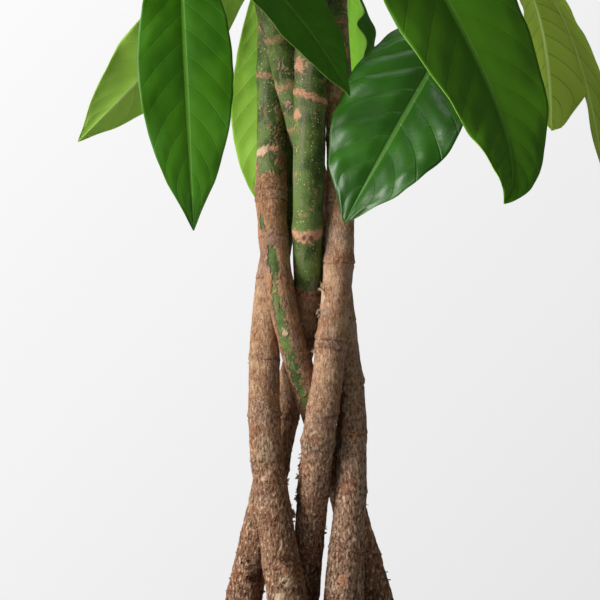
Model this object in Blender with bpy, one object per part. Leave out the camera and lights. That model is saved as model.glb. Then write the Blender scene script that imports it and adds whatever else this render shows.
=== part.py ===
"""Braided money tree in a plain round pot.

Five stems rise out of the soil, braid round each other and part again into a leafy crown.
Each compound leaf is one solid: a petiole, the knob at its end, and the leaflets that
spread from the knob. Metres, +Z up. The origin is the centre of the pot's base.
"""

import math
from typing import NamedTuple

import bmesh
import bpy
from mathutils import Vector

MM = 0.001
UP = Vector((0.0, 0.0, 1.0))

# Pot: a tapered wall with a thicker rim and a flat floor.
POT_HEIGHT = 0.244
POT_FOOT_RADIUS = 0.104
POT_RIM_RADIUS = 0.138
POT_WALL = 0.0065
POT_FLOOR = 0.010
RIM_BAND = 0.024
RIM_PROUD = 0.004
RIM_ROUND = 0.0025
POT_SIDES = 40

# Soil: fills the pot to below the rim, with a slightly domed top.
FIT_GAP = 0.0004
SOIL_LEVEL = 0.222
SOIL_DOME = 0.004
STEM_DEPTH = 0.070

# Stems: a ring every RING_STEP of their route.
RING_STEP = 0.024
STEM_SIDE_RESOLUTION = 2

# Leaves: petiole, knob and leaflets.
PETIOLE_RADIUS = 0.0021
PETIOLE_SWELL = 1.65
PETIOLE_ARCH = 0.16
PETIOLE_RINGS = 4
KNOB_RADIUS = 0.0056
LEAFLET_THICKNESS = 0.0022
LEAFLET_STALK = 0.0013
LEAFLET_STATIONS = (0.0, 0.3, 0.66, 1.0)
OUTLINE_FULLNESS = 0.85
ASPECT = 3.25
FAN_SPREAD = 300.0
FAN_BANK = 8.0

# Each stem's route: x, y, z and radius in millimetres, from the cut foot in the soil to the tip.
STEM_ROUTES = {
    "stem_left_back": (
        (-74, 24, 150, 15.5), (-55, 17, 222, 14.0), (-45, 13, 274, 12.9),
        (-38, 12, 309, 12.2), (-30, 13, 344, 11.9), (-22.5, 16.5, 379, 11.6),
        (-14.5, 22.5, 414, 10.9), (-7, 18.5, 442, 10.5), (-2.5, 10, 464, 10.1),
        (0, 3.5, 485, 10.0), (-0.5, -8, 520, 10.3), (0, -14, 554, 10.9),
        (1, -16, 589, 11.2), (1.5, -16, 623, 11.5), (2, -16, 658, 11.4),
        (3, -17, 692, 11.0), (6, -24, 740, 10.0), (14, -42, 800, 8.6),
        (22, -56, 870, 6.8), (26, -64, 935, 4.6),
    ),
    "stem_right_back": (
        (80, 26, 150, 15.0), (61, 20, 222, 13.6), (48, 19, 274, 12.3),
        (38, 18, 308, 11.9), (27.5, 17.5, 343, 11.5), (15.5, 13, 379, 11.2),
        (7, 7.5, 401, 10.8), (1.8, 2.5, 415, 10.4), (-3.2, -2.5, 429, 10.3),
        (-8, -7, 443, 9.9), (-12, -11.5, 457, 9.9), (-18.4, -13, 485, 9.9),
        (-23.4, -8, 520, 10.3), (-26, 0, 555, 11.0), (-25.5, 9.5, 591, 10.8),
        (-25.5, 17, 616, 10.5), (-26, 20, 635, 10.2), (-26.5, 20.5, 656, 10.2),
        (-27, 20, 698, 9.6), (-31, 26, 750, 8.8), (-43, 40, 820, 7.6),
        (-52, 50, 900, 6.4), (-58, 60, 1000, 5.0), (-60, 66, 1060, 3.8),
    ),
    "stem_front_right": (
        (24, -8, 150, 16.0), (23.5, -10, 222, 15.3), (24.5, -10, 278, 14.4),
        (25.5, -9.5, 293, 13.4), (27, -9, 311, 12.4), (29.5, -8.5, 346, 11.4),
        (31, -6.5, 380, 10.4), (30, -3, 415, 10.4), (26.7, 4, 443, 10.4),
        (23.5, 10, 471, 10.4), (20, 14, 499, 10.5), (16.4, 15, 520, 10.2),
        (8.6, 14, 556, 10.2), (-1.4, 10, 594, 10.1), (-6.3, 7.5, 615, 10.3),
        (-11.5, 4, 633, 10.4), (-17, -1, 653, 10.3), (-21, -6.5, 669, 10.3),
        (-27, -12.5, 690, 10.3), (-38, -20, 740, 9.2), (-50, -30, 800, 7.8),
        (-60, -40, 870, 6.2), (-66, -48, 945, 4.4),
    ),
    "stem_middle": (
        (-11, 26, 150, 13.0), (-8, 20, 222, 12.4), (-3.5, 14, 274, 11.4),
        (-1.5, 10, 290, 11.1), (0.4, 4.5, 310, 10.8), (3.2, -6.5, 346, 11.3),
        (6.1, -16, 381, 11.5), (8, -20, 397, 11.4), (11.6, -21, 416, 11.0),
        (14.6, -17, 444, 10.9), (17.7, -13, 471, 10.6), (20.6, -10, 499, 10.5),
        (21.8, -8.5, 520, 10.2), (22.6, -5, 555, 10.0), (22.8, -3.5, 590, 10.0),
        (22, -2.5, 625, 10.0), (20, 2, 660, 9.7), (18, 7, 696, 9.4),
        (26, 8, 740, 8.8), (44, 3, 800, 7.8), (60, -4, 880, 6.4), (70, -8, 960, 5.0),
        (74, -10, 1020, 3.8),
    ),
    "stem_front_left": (
        (-10, -25, 150, 17.0), (-10, -22, 222, 15.8), (-14, -17, 279, 14.4),
        (-16.3, -15.5, 293, 13.7), (-20.3, -14, 312, 12.8), (-25, -14.5, 347, 12.0),
        (-29.3, -13, 381, 11.3), (-30.6, -10, 416, 11.0), (-30.8, -3, 443, 10.7),
        (-30.5, 2, 457, 10.7), (-29.5, 5.5, 471, 10.7), (-27.6, 10, 485, 10.8),
        (-22.5, 16.5, 520, 10.8), (-16, 24, 556, 10.5), (-9, 30.5, 593, 10.2),
        (-3.4, 32, 628, 10.3), (1.8, 31, 664, 10.2), (6, 30, 700, 10.0),
        (12, 40, 750, 9.0), (20, 54, 820, 7.8), (28, 66, 900, 6.4),
        (32, 74, 1000, 4.8), (34, 78, 1080, 3.6),
    ),
}


class Leaflet(NamedTuple):
    """One leaflet, from its knob to its tip.

    bow is the pull on its middle away from the straight line, face the way its upper side
    looks, widest the share of its length at which it is widest and fold the rise of its
    two halves from the midrib.
    """

    tip: tuple
    bow: tuple
    face: tuple
    width: float
    widest: float = 0.50
    fold: float = 0.16


class Leaf(NamedTuple):
    """One compound leaf: its stem, the height it grows at, its knob and its leaflets."""

    name: str
    stem: str
    height: float
    knob: tuple
    leaflets: tuple


def heading(azimuth, elevation=0.0):
    """The unit vector at an azimuth and an elevation in degrees."""
    turn, lift = math.radians(azimuth), math.radians(elevation)
    flat = math.cos(lift)
    return Vector((flat * math.cos(turn), flat * math.sin(turn), math.sin(lift)))


def spread_leaflet(knob, azimuth, length, droop, tilt=0.0):
    """A leaflet that arches out from the knob at an azimuth and hangs to droop degrees."""
    return Leaflet(
        tip=Vector(knob) + length * heading(azimuth, -droop),
        bow=UP * 0.30 * length,
        face=UP + tilt * heading(azimuth + 90),
        width=length / ASPECT,
    )


def fan(knob, azimuth, length, droop, count):
    """A regular spread of leaflets round a knob.

    Those that point outwards are the longest. One side of the leaf hangs lower than the
    other, so that neighbouring leaves pass over and under each other.
    """
    leaflets = []
    for index in range(count):
        turn = (index - (count - 1) / 2) * FAN_SPREAD / count
        share = abs(turn) / 150.0
        leaflets.append(
            spread_leaflet(
                knob, azimuth + turn, length * (1.0 - 0.30 * share**2),
                droop * (1.0 - 0.45 * share) + FAN_BANK * math.sin(math.radians(turn)),
                tilt=0.12 * (-1) ** index,
            )
        )
    return tuple(leaflets)


def ring_place(azimuth, radius, height):
    """The point at an azimuth in degrees and a radius from the plant's axis."""
    angle = math.radians(azimuth)
    return (radius * math.cos(angle), radius * math.sin(angle), height)


def spread_at(knob, *rows):
    """Leaflets of a low leaf that point up and out: azimuth, length and droop of each."""
    return tuple(spread_leaflet(knob, *row) for row in rows)


# The low leaves round the braid, each placed for itself.
KNOB_FRONT_LEFT = (-0.081, -0.145, 0.728)
KNOB_LEFT = (-0.031, 0.075, 0.756)
KNOB_BACK = (0.040, 0.098, 0.778)
KNOB_RIGHT = (0.136, 0.022, 0.732)
KNOB_FRONT = (0.019, -0.270, 0.740)

LOW_LEAVES = (
    Leaf(
        "leaf_low_front_left", "stem_front_right", 0.775, KNOB_FRONT_LEFT,
        (
            Leaflet((-0.070, -0.170, 0.529), (0.005, -0.035, 0.010), (0.05, -1.0, 0.3), 0.059, 0.52),
            Leaflet((0.027, -0.080, 0.619), (0.018, 0.0, 0.010), (0.5, -0.8, 0.55), 0.062),
        )
        + spread_at(KNOB_FRONT_LEFT, (142, 0.165, 6), (190, 0.185, 4), (232, 0.19, 8), (318, 0.165, 0)),
    ),
    Leaf(
        "leaf_low_left", "stem_right_back", 0.720, KNOB_LEFT,
        (
            Leaflet((-0.171, 0.080, 0.603), (0.004, 0.0, -0.006), (-0.25, 0.9, 0.45), 0.059),
            Leaflet((-0.028, 0.115, 0.544), (0.0, 0.03, 0.0), (0.1, 0.95, 0.3), 0.060, 0.60),
        )
        + spread_at(KNOB_LEFT, (128, 0.17, -4), (215, 0.135, -14)),
    ),
    Leaf(
        "leaf_low_back", "stem_front_left", 0.735, KNOB_BACK,
        (
            Leaflet((0.037, 0.090, 0.635), (-0.012, 0.0, 0.0), (-0.8, 0.5, 0.3), 0.042),
            Leaflet((0.046, 0.125, 0.638), (-0.004, 0.03, 0.0), (0.8, -0.5, 0.3), 0.042),
        )
        + spread_at(KNOB_BACK, (98, 0.17, -2), (20, 0.15, -12)),
    ),
    Leaf(
        "leaf_low_right", "stem_middle", 0.790, KNOB_RIGHT,
        (
            Leaflet((0.023, -0.050, 0.537), (-0.012, -0.03, 0.006), (-0.35, -0.85, 0.4), 0.082, 0.56),
            Leaflet((0.183, 0.100, 0.598), (0.033, 0.0, 0.027), (0.15, 0.85, 0.5), 0.064, 0.55),
            Leaflet((0.213, 0.050, 0.569), (0.055, 0.0, 0.021), (0.9, 0.3, 0.3), 0.055, 0.50, 0.30),
        )
        + spread_at(KNOB_RIGHT, (330, 0.19, 4), (286, 0.16, -6), (98, 0.16, -2)),
    ),
    Leaf(
        "leaf_low_front", "stem_left_back", 0.800, KNOB_FRONT,
        (
            Leaflet((0.100, -0.330, 0.535), (0.040, -0.03, -0.015), (-0.15, -0.85, 0.45), 0.067, 0.47),
        )
        + spread_at(KNOB_FRONT, (268, 0.17, 6), (222, 0.17, 2), (2, 0.17, 0), (170, 0.12, -12)),
    ),
)

# The crown above them: stem, height on it, the knob's azimuth, radius and height, and the
# length, droop and number of the leaflets.
CROWN = (
    ("stem_front_right", 0.825, 203, 0.290, 0.825, 0.175, 30, 6),
    ("stem_right_back", 0.830, 150, 0.275, 0.850, 0.180, 30, 6),
    ("stem_front_left", 0.830, 100, 0.270, 0.915, 0.185, 23, 6),
    ("stem_front_left", 0.860, 55, 0.275, 0.885, 0.180, 28, 6),
    ("stem_middle", 0.840, 14, 0.300, 0.850, 0.185, 30, 6),
    ("stem_middle", 0.865, 321, 0.295, 0.825, 0.180, 33, 6),
    ("stem_left_back", 0.835, 281, 0.250, 0.915, 0.180, 25, 6),
    ("stem_front_right", 0.860, 237, 0.275, 0.890, 0.175, 25, 6),
    ("stem_front_right", 0.905, 217, 0.200, 1.005, 0.165, 31, 6),
    ("stem_right_back", 0.890, 182, 0.225, 0.960, 0.165, 25, 6),
    ("stem_right_back", 0.930, 121, 0.220, 1.020, 0.165, 25, 6),
    ("stem_front_left", 0.930, 81, 0.230, 1.000, 0.160, 28, 6),
    ("stem_middle", 0.905, 35, 0.255, 0.965, 0.165, 22, 6),
    ("stem_middle", 0.940, 344, 0.225, 1.000, 0.165, 28, 6),
    ("stem_left_back", 0.890, 300, 0.205, 0.965, 0.160, 26, 5),
    ("stem_left_back", 0.925, 268, 0.165, 1.030, 0.145, 20, 5),
    ("stem_right_back", 0.990, 198, 0.130, 1.065, 0.145, 19, 5),
    ("stem_right_back", 1.035, 130, 0.150, 1.120, 0.140, 18, 5),
    ("stem_front_left", 1.010, 60, 0.155, 1.105, 0.145, 20, 5),
    ("stem_middle", 0.995, 335, 0.140, 1.085, 0.145, 22, 5),
    ("stem_front_left", 1.060, 265, 0.050, 1.160, 0.125, -8, 5),
)


def clear_scene():
    """Removes every object of the startup scene."""
    for obj in list(bpy.data.objects):
        bpy.data.objects.remove(obj, do_unlink=True)


def collection(name):
    """A new collection in the scene."""
    made = bpy.data.collections.new(name)
    bpy.context.scene.collection.children.link(made)
    return made


def material(name, color, roughness, metallic=0.0):
    """A Principled material of one colour."""
    made = bpy.data.materials.new(name)
    made.use_nodes = True
    shader = made.node_tree.nodes["Principled BSDF"]
    shader.inputs["Base Color"].default_value = (*color, 1.0)
    shader.inputs["Roughness"].default_value = roughness
    shader.inputs["Metallic"].default_value = metallic
    made.diffuse_color = (*color, 1.0)
    return made


def mesh_object(name, bm, into, finish=None):
    """An object from a bmesh, in a collection."""
    mesh = bpy.data.meshes.new(name)
    bm.to_mesh(mesh)
    bm.free()
    obj = bpy.data.objects.new(name, mesh)
    into.objects.link(obj)
    if finish:
        mesh.materials.append(finish)
    return obj


def as_helper(obj):
    """Marks an object as a cutter or a piece to be joined, which the build leaves out."""
    obj.hide_render = True
    obj.display_type = "WIRE"
    return obj


def evaluated_mesh(obj):
    """The object's mesh with its modifiers, welded."""
    bpy.context.view_layer.update()
    graph = bpy.context.evaluated_depsgraph_get()
    mesh = bpy.data.meshes.new_from_object(obj.evaluated_get(graph))
    bm = bmesh.new()
    bm.from_mesh(mesh)
    bmesh.ops.remove_doubles(bm, verts=bm.verts, dist=1e-6)
    bm.to_mesh(mesh)
    bm.free()
    return mesh


def tube(name, points, radii, into, resolution):
    """A closed tube through the points, made a mesh."""
    curve = bpy.data.curves.new(name, "CURVE")
    curve.dimensions = "3D"
    curve.bevel_depth = 1.0
    curve.bevel_resolution = resolution
    curve.use_fill_caps = True
    spline = curve.splines.new("POLY")
    spline.points.add(len(points) - 1)
    for place, point, radius in zip(spline.points, points, radii):
        place.co = (*point, 1.0)
        place.radius = radius
    guide = bpy.data.objects.new(name + "_guide", curve)
    into.objects.link(guide)
    mesh = evaluated_mesh(guide)
    bpy.data.objects.remove(guide, do_unlink=True)
    bpy.data.curves.remove(curve)
    mesh.name = name
    obj = bpy.data.objects.new(name, mesh)
    into.objects.link(obj)
    return obj


def keep_outer_shell(mesh):
    """Deletes the small closed shells a union can leave inside where several pieces meet."""
    bm = bmesh.new()
    bm.from_mesh(mesh)
    shells, seen = [], set()
    for first in bm.verts:
        if first in seen:
            continue
        shell, front = {first}, [first]
        while front:
            vert = front.pop()
            for edge in vert.link_edges:
                other = edge.other_vert(vert)
                if other not in shell:
                    shell.add(other)
                    front.append(other)
        seen |= shell
        shells.append(shell)
    largest = max(shells, key=len)
    bmesh.ops.delete(bm, geom=[v for v in bm.verts if v not in largest], context="VERTS")
    bm.to_mesh(mesh)
    bm.free()


def smooth_shade(obj, angle=40.0):
    """Shades an object smooth, with its corners kept sharp."""
    obj.data.shade_smooth()
    obj.data.set_sharp_from_angle(angle=math.radians(angle))


def spline_point(stations, position):
    """The Catmull-Rom point of a list of vectors at a position counted in stations."""
    last = len(stations) - 1
    index = min(int(position), last - 1)
    t = position - index
    before = stations[max(index - 1, 0)]
    start = stations[index]
    end = stations[index + 1]
    after = stations[min(index + 2, last)]
    return 0.5 * (
        2 * start
        + (end - before) * t
        + (2 * before - 5 * start + 4 * end - after) * t**2
        + (3 * start - before - 3 * end + after) * t**3
    )


class Stem:
    """A stem's smooth route, with its radius as the fourth coordinate."""

    def __init__(self, name):
        self.name = name
        stations = [Vector(row) * MM for row in STEM_ROUTES[name]]
        steps = len(stations) * 12
        last = len(stations) - 1
        self.points = [spline_point(stations, last * i / steps) for i in range(steps + 1)]

    def at(self, height):
        """(centre, radius) at a height."""
        for low, high in zip(self.points, self.points[1:]):
            if low.z <= height <= high.z:
                share = (height - low.z) / max(high.z - low.z, 1e-9)
                found = low.lerp(high, share)
                return found.xyz, found.w
        end = self.points[-1]
        return end.xyz, end.w

    def rings(self, top=None):
        """Points and radii spaced by RING_STEP, up to the tip or to a height."""
        points, radii = [self.points[0].xyz], [self.points[0].w]
        for point in self.points[1:]:
            if top is not None and point.z > top:
                break
            if (point.xyz - points[-1]).length >= RING_STEP:
                points.append(point.xyz)
                radii.append(point.w)
        if top is None:
            points[-1] = self.points[-1].xyz
            radii[-1] = self.points[-1].w
        return points, radii

    def build(self, into, finish):
        """The stem's solid."""
        points, radii = self.rings()
        obj = tube(self.name, points, radii, into, STEM_SIDE_RESOLUTION)
        obj.data.materials.append(finish)
        smooth_shade(obj, 60.0)
        return obj

    def socket(self, into):
        """The cutter that leaves room for the stem in the soil."""
        points, radii = self.rings(top=SOIL_LEVEL + 0.05)
        points[0] = points[0] - UP * FIT_GAP * 2
        wider = [radius + FIT_GAP * 1.6 for radius in radii]
        return as_helper(tube(self.name + "_socket", points, wider, into, STEM_SIDE_RESOLUTION))


def turned(name, profile, into, finish, sides):
    """A solid turned about Z from a profile of (radius, height) that starts and ends on the axis."""
    bm = bmesh.new()
    verts = [bm.verts.new((radius, 0.0, height)) for radius, height in profile]
    for low, high in zip(verts, verts[1:]):
        bm.edges.new((low, high))
    bmesh.ops.spin(
        bm, geom=bm.verts[:] + bm.edges[:], axis=UP, cent=(0, 0, 0), angle=math.tau,
        steps=sides, use_merge=True,
    )
    bmesh.ops.remove_doubles(bm, verts=bm.verts, dist=1e-5)
    bmesh.ops.recalc_face_normals(bm, faces=bm.faces)
    obj = mesh_object(name, bm, into, finish)
    smooth_shade(obj)
    return obj


def wall_radius(height):
    """The pot's outer radius at a height, below the rim."""
    return POT_FOOT_RADIUS + (POT_RIM_RADIUS - POT_FOOT_RADIUS) * height / POT_HEIGHT


def build_pot(into, finish):
    """The pot: floor, tapered wall and rim."""
    band = POT_HEIGHT - RIM_BAND
    inside_floor = wall_radius(POT_FLOOR) - POT_WALL
    inside_top = wall_radius(POT_HEIGHT) - POT_WALL
    profile = (
        (0.0, 0.0),
        (POT_FOOT_RADIUS - RIM_ROUND, 0.0),
        (POT_FOOT_RADIUS, RIM_ROUND),
        (wall_radius(band), band),
        (wall_radius(band) + RIM_PROUD, band + RIM_ROUND),
        (wall_radius(POT_HEIGHT) + RIM_PROUD, POT_HEIGHT - RIM_ROUND),
        (wall_radius(POT_HEIGHT) + RIM_PROUD - RIM_ROUND, POT_HEIGHT),
        (inside_top + RIM_ROUND, POT_HEIGHT),
        (inside_top, POT_HEIGHT - RIM_ROUND),
        (inside_floor, POT_FLOOR),
        (0.0, POT_FLOOR),
    )
    return turned("pot", profile, into, finish, POT_SIDES)


def build_soil(stems, into, helpers, finish):
    """The soil, with a socket for each stem."""
    inner = POT_WALL + FIT_GAP
    low = POT_FLOOR + FIT_GAP
    side = wall_radius(SOIL_LEVEL) - inner
    profile = (
        (0.0, low),
        (wall_radius(low) - inner - FIT_GAP, low),
        (side - FIT_GAP, SOIL_LEVEL),
        (side * 0.55, SOIL_LEVEL + SOIL_DOME),
        (0.0, SOIL_LEVEL + SOIL_DOME * 1.2),
    )
    soil = turned("soil", profile, into, finish, POT_SIDES)
    for stem in stems.values():
        cut = soil.modifiers.new(stem.name + "_socket", "BOOLEAN")
        cut.operation = "DIFFERENCE"
        cut.object = stem.socket(helpers)
    return soil


def bezier(start, control, end, t):
    """(point, direction) on a quadratic curve."""
    point = start * (1 - t) ** 2 + control * 2 * t * (1 - t) + end * t**2
    direction = (control - start) * (1 - t) + (end - control) * t
    return point, direction.normalized()


def leaflet_section(knob, leaflet, station):
    """(centre, side, normal) of a leaflet at a share of its length."""
    tip = Vector(leaflet.tip)
    control = knob.lerp(tip, 0.5) + Vector(leaflet.bow)
    centre, along = bezier(knob, control, tip, station)
    side = along.cross(Vector(leaflet.face)).normalized()
    return centre, side, side.cross(along)


def half_width(leaflet, station):
    """The blade's half width: a lance-shaped outline with its widest place where asked."""
    if not 0 < station < 1:
        return LEAFLET_STALK
    turn = station ** (math.log(0.5) / math.log(leaflet.widest))
    outline = math.sin(math.pi * turn) ** OUTLINE_FULLNESS
    return max(LEAFLET_STALK, 0.5 * leaflet.width * outline)


def build_leaflet(name, knob, leaflet, into):
    """A leaflet as a thin folded blade, from four-cornered sections bridged along its length."""
    bm = bmesh.new()
    rings = []
    for station in LEAFLET_STATIONS:
        centre, side, normal = leaflet_section(knob, leaflet, station)
        half = half_width(leaflet, station)
        if station == LEAFLET_STATIONS[-1]:
            half = LEAFLET_STALK * 0.4
        thick = min(LEAFLET_THICKNESS, 2 * half)
        corners = (
            centre + side * half + normal * half * leaflet.fold,
            centre + normal * thick / 2,
            centre - side * half + normal * half * leaflet.fold,
            centre - normal * thick / 2,
        )
        verts = [bm.verts.new(corner) for corner in corners]
        rings.append([bm.edges.new((verts[i], verts[(i + 1) % 4])) for i in range(4)])
    for low, high in zip(rings, rings[1:]):
        bmesh.ops.bridge_loops(bm, edges=low + high)
    for end in (rings[0], rings[-1]):
        bmesh.ops.edgenet_fill(bm, edges=end)
    bmesh.ops.recalc_face_normals(bm, faces=bm.faces)
    return as_helper(mesh_object(name, bm, into))


def build_petiole(leaf, stem, into):
    """The leaf's stalk, from just clear of its stem to the knob that closes its end."""
    knob = Vector(leaf.knob)
    centre, stem_radius = stem.at(leaf.height)
    outward = knob - centre
    outward.z = 0.0
    outward.normalize()
    foot_radius = PETIOLE_RADIUS * PETIOLE_SWELL
    start = centre + outward * (stem_radius + foot_radius + FIT_GAP)
    reach = (knob - start).length
    control = start.lerp(knob, 0.5) + UP * PETIOLE_ARCH * reach
    points, radii = [start], [foot_radius]
    for ring in range(1, PETIOLE_RINGS):
        points.append(bezier(start, control, knob, ring / PETIOLE_RINGS)[0])
        radii.append(PETIOLE_RADIUS)
    into_knob = (knob - points[-1]).normalized()
    for ahead, radius in ((-1.6, PETIOLE_RADIUS), (-0.5, KNOB_RADIUS), (0.7, KNOB_RADIUS)):
        points.append(knob + into_knob * KNOB_RADIUS * ahead)
        radii.append(radius)
    return tube(leaf.name, points, radii, into, 1)


def build_leaf(leaf, stems, into, finish):
    """A compound leaf: its petiole and knob, with the leaflets joined to them."""
    pieces = collection(leaf.name + "_pieces")
    knob = Vector(leaf.knob)
    obj = build_petiole(leaf, stems[leaf.stem], into)
    for number, leaflet in enumerate(leaf.leaflets):
        build_leaflet(f"{leaf.name}_{number}", knob, leaflet, pieces)
    join = obj.modifiers.new("join", "BOOLEAN")
    join.operation = "UNION"
    join.operand_type = "COLLECTION"
    join.collection = pieces
    joined = evaluated_mesh(obj)
    keep_outer_shell(joined)
    joined.name = leaf.name
    joined.materials.clear()
    joined.materials.append(finish)
    obj.modifiers.clear()
    obj.data = joined
    for piece in list(pieces.objects):
        bpy.data.objects.remove(piece, do_unlink=True)
    bpy.data.collections.remove(pieces)
    smooth_shade(obj, 30.0)
    return obj


def crown_leaves():
    """The leaves of the crown, numbered from the lowest."""
    leaves = []
    for number, row in enumerate(CROWN, start=1):
        stem, height, azimuth, radius, level, length, droop, count = row
        knob = ring_place(azimuth, radius, level)
        leaflets = fan(knob, azimuth, length, droop, count)
        leaves.append(Leaf(f"leaf_crown_{number:02d}", stem, height, knob, leaflets))
    return tuple(leaves)


def main():
    """Builds the whole plant."""
    clear_scene()
    plant = collection("money_tree")
    helpers = collection("cutters")
    bark = material("bark", (0.36, 0.22, 0.13), 0.85)
    leaf_green = material("leaf_green", (0.05, 0.20, 0.02), 0.40)
    glaze = material("pot_ceramic", (0.78, 0.76, 0.72), 0.55)
    mix = material("potting_mix", (0.06, 0.04, 0.03), 0.95)
    stems = {name: Stem(name) for name in STEM_ROUTES}
    build_pot(plant, glaze)
    build_soil(stems, plant, helpers, mix)
    for stem in stems.values():
        stem.build(plant, bark)
    for leaf in LOW_LEAVES + crown_leaves():
        build_leaf(leaf, stems, plant, leaf_green)


main()
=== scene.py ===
"""The looks of a potted, braided money tree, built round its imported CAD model.

Five stems carry bark that is green and smooth where it is young and brown, ringed and
fissured where it is old. Compound leaves hang from petioles, with a glossy quilted upper
side and a paler underside. The pot is matte stoneware and the soil is loose potting mix.
"""

import logging
import math
import random
from collections.abc import Iterable
from dataclasses import dataclass, field, replace
from enum import Enum

import bmesh
import bpy
from mathutils import Matrix, Vector, noise

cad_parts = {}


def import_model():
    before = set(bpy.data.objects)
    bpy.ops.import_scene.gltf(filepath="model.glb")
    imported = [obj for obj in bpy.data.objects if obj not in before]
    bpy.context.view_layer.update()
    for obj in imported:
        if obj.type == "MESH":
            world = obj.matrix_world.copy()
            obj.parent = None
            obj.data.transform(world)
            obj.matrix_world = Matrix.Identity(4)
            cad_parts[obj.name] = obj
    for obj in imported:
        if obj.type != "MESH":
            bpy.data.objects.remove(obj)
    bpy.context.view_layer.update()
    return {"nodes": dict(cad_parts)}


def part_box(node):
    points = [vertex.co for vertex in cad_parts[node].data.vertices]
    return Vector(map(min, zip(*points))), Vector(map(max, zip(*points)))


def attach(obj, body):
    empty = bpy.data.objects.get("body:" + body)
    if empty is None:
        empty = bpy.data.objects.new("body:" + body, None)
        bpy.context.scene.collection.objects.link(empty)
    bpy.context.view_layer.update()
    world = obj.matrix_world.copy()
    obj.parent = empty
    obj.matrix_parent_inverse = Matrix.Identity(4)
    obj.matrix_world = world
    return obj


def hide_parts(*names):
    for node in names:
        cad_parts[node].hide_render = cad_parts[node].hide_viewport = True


LOG = logging.getLogger("money_tree")
MM = 0.001
UP = Vector((0.0, 0.0, 1.0))
FRONT = Vector((0.0, -1.0, 0.0))

Triple = tuple[float, float, float]
Color = Triple
Profile = list[tuple[float, float]]
Socket = bpy.types.NodeSocket
Value = float | Color | Socket


# ---------------------------------------------------------------------------
# Small helpers
# ---------------------------------------------------------------------------


def smoothstep(low: float, high: float, value: float) -> float:
    """Returns 0 below low, 1 above high and an eased blend between them."""
    share = min(1.0, max(0.0, (value - low) / (high - low)))
    return share * share * (3.0 - 2.0 * share)


def bell(offset: float, width: float) -> float:
    """Returns a bump that is 1 at no offset and fades over width."""
    return math.exp(-((offset / width) ** 2))


def heading(azimuth: float, elevation: float = 0.0) -> Vector:
    """Returns the unit vector at an azimuth and an elevation in degrees.

    Args:
        azimuth: The angle round Z from +X.
        elevation: The angle above level.

    Returns:
        The unit vector.
    """
    turn, lift = math.radians(azimuth), math.radians(elevation)
    flat = math.cos(lift)
    return Vector((flat * math.cos(turn), flat * math.sin(turn), math.sin(lift)))


def bezier(start: Vector, control: Vector, end: Vector, share: float) -> tuple[Vector, Vector]:
    """Returns the point and the direction at a share of a quadratic curve.

    Args:
        start: Where the curve starts.
        control: The point that it leans to.
        end: Where it ends.
        share: The share of the way along it.

    Returns:
        The point and the unit direction there.
    """
    point = start * (1 - share) ** 2 + control * 2 * share * (1 - share) + end * share**2
    direction = (control - start) * (1 - share) + (end - control) * share
    return point, direction.normalized()


def new_piece(name: str, bm: bmesh.types.BMesh, finishes: Iterable[bpy.types.Material]) -> bpy.types.Object:
    """Turns a bmesh into a smooth-shaded object in the scene.

    Args:
        name: The name of the object and its mesh.
        bm: The finished shape, which is freed.
        finishes: The materials, in the order of the faces' material indices.

    Returns:
        The new object.
    """
    mesh = bpy.data.meshes.new(name)
    bm.to_mesh(mesh)
    bm.free()
    for finish in finishes:
        mesh.materials.append(finish)
    mesh.shade_smooth()
    piece = bpy.data.objects.new(name, mesh)
    bpy.context.scene.collection.objects.link(piece)
    return piece


def wrapped_grid(across: int, along: int) -> bmesh.types.BMesh:
    """Returns a flat grid from -1 to 1 each way, with its places kept as UVs.

    Args:
        across: How many quads along X.
        along: How many quads along Y.

    Returns:
        The grid, with a UV layer.
    """
    bm = bmesh.new()
    uv_layer = bm.loops.layers.uv.new("UVMap")
    bmesh.ops.create_grid(bm, x_segments=across, y_segments=along, size=1.0)
    for face in bm.faces:
        for loop in face.loops:
            place = loop.vert.co
            loop[uv_layer].uv = ((place.x + 1) / 2, (place.y + 1) / 2)
    return bm


def join_mesh(bm: bmesh.types.BMesh, source: bpy.types.Object) -> None:
    """Adds an object's finished mesh to a bmesh and removes the object.

    Args:
        bm: The shape that grows.
        source: The object whose evaluated mesh is added.
    """
    bpy.context.view_layer.update()
    graph = bpy.context.evaluated_depsgraph_get()
    mesh = bpy.data.meshes.new_from_object(source.evaluated_get(graph))
    bm.from_mesh(mesh)
    bpy.data.meshes.remove(mesh)
    data = source.data
    bpy.data.objects.remove(source, do_unlink=True)
    if isinstance(data, bpy.types.Curve):
        bpy.data.curves.remove(data)


# ---------------------------------------------------------------------------
# Materials
# ---------------------------------------------------------------------------


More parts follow.
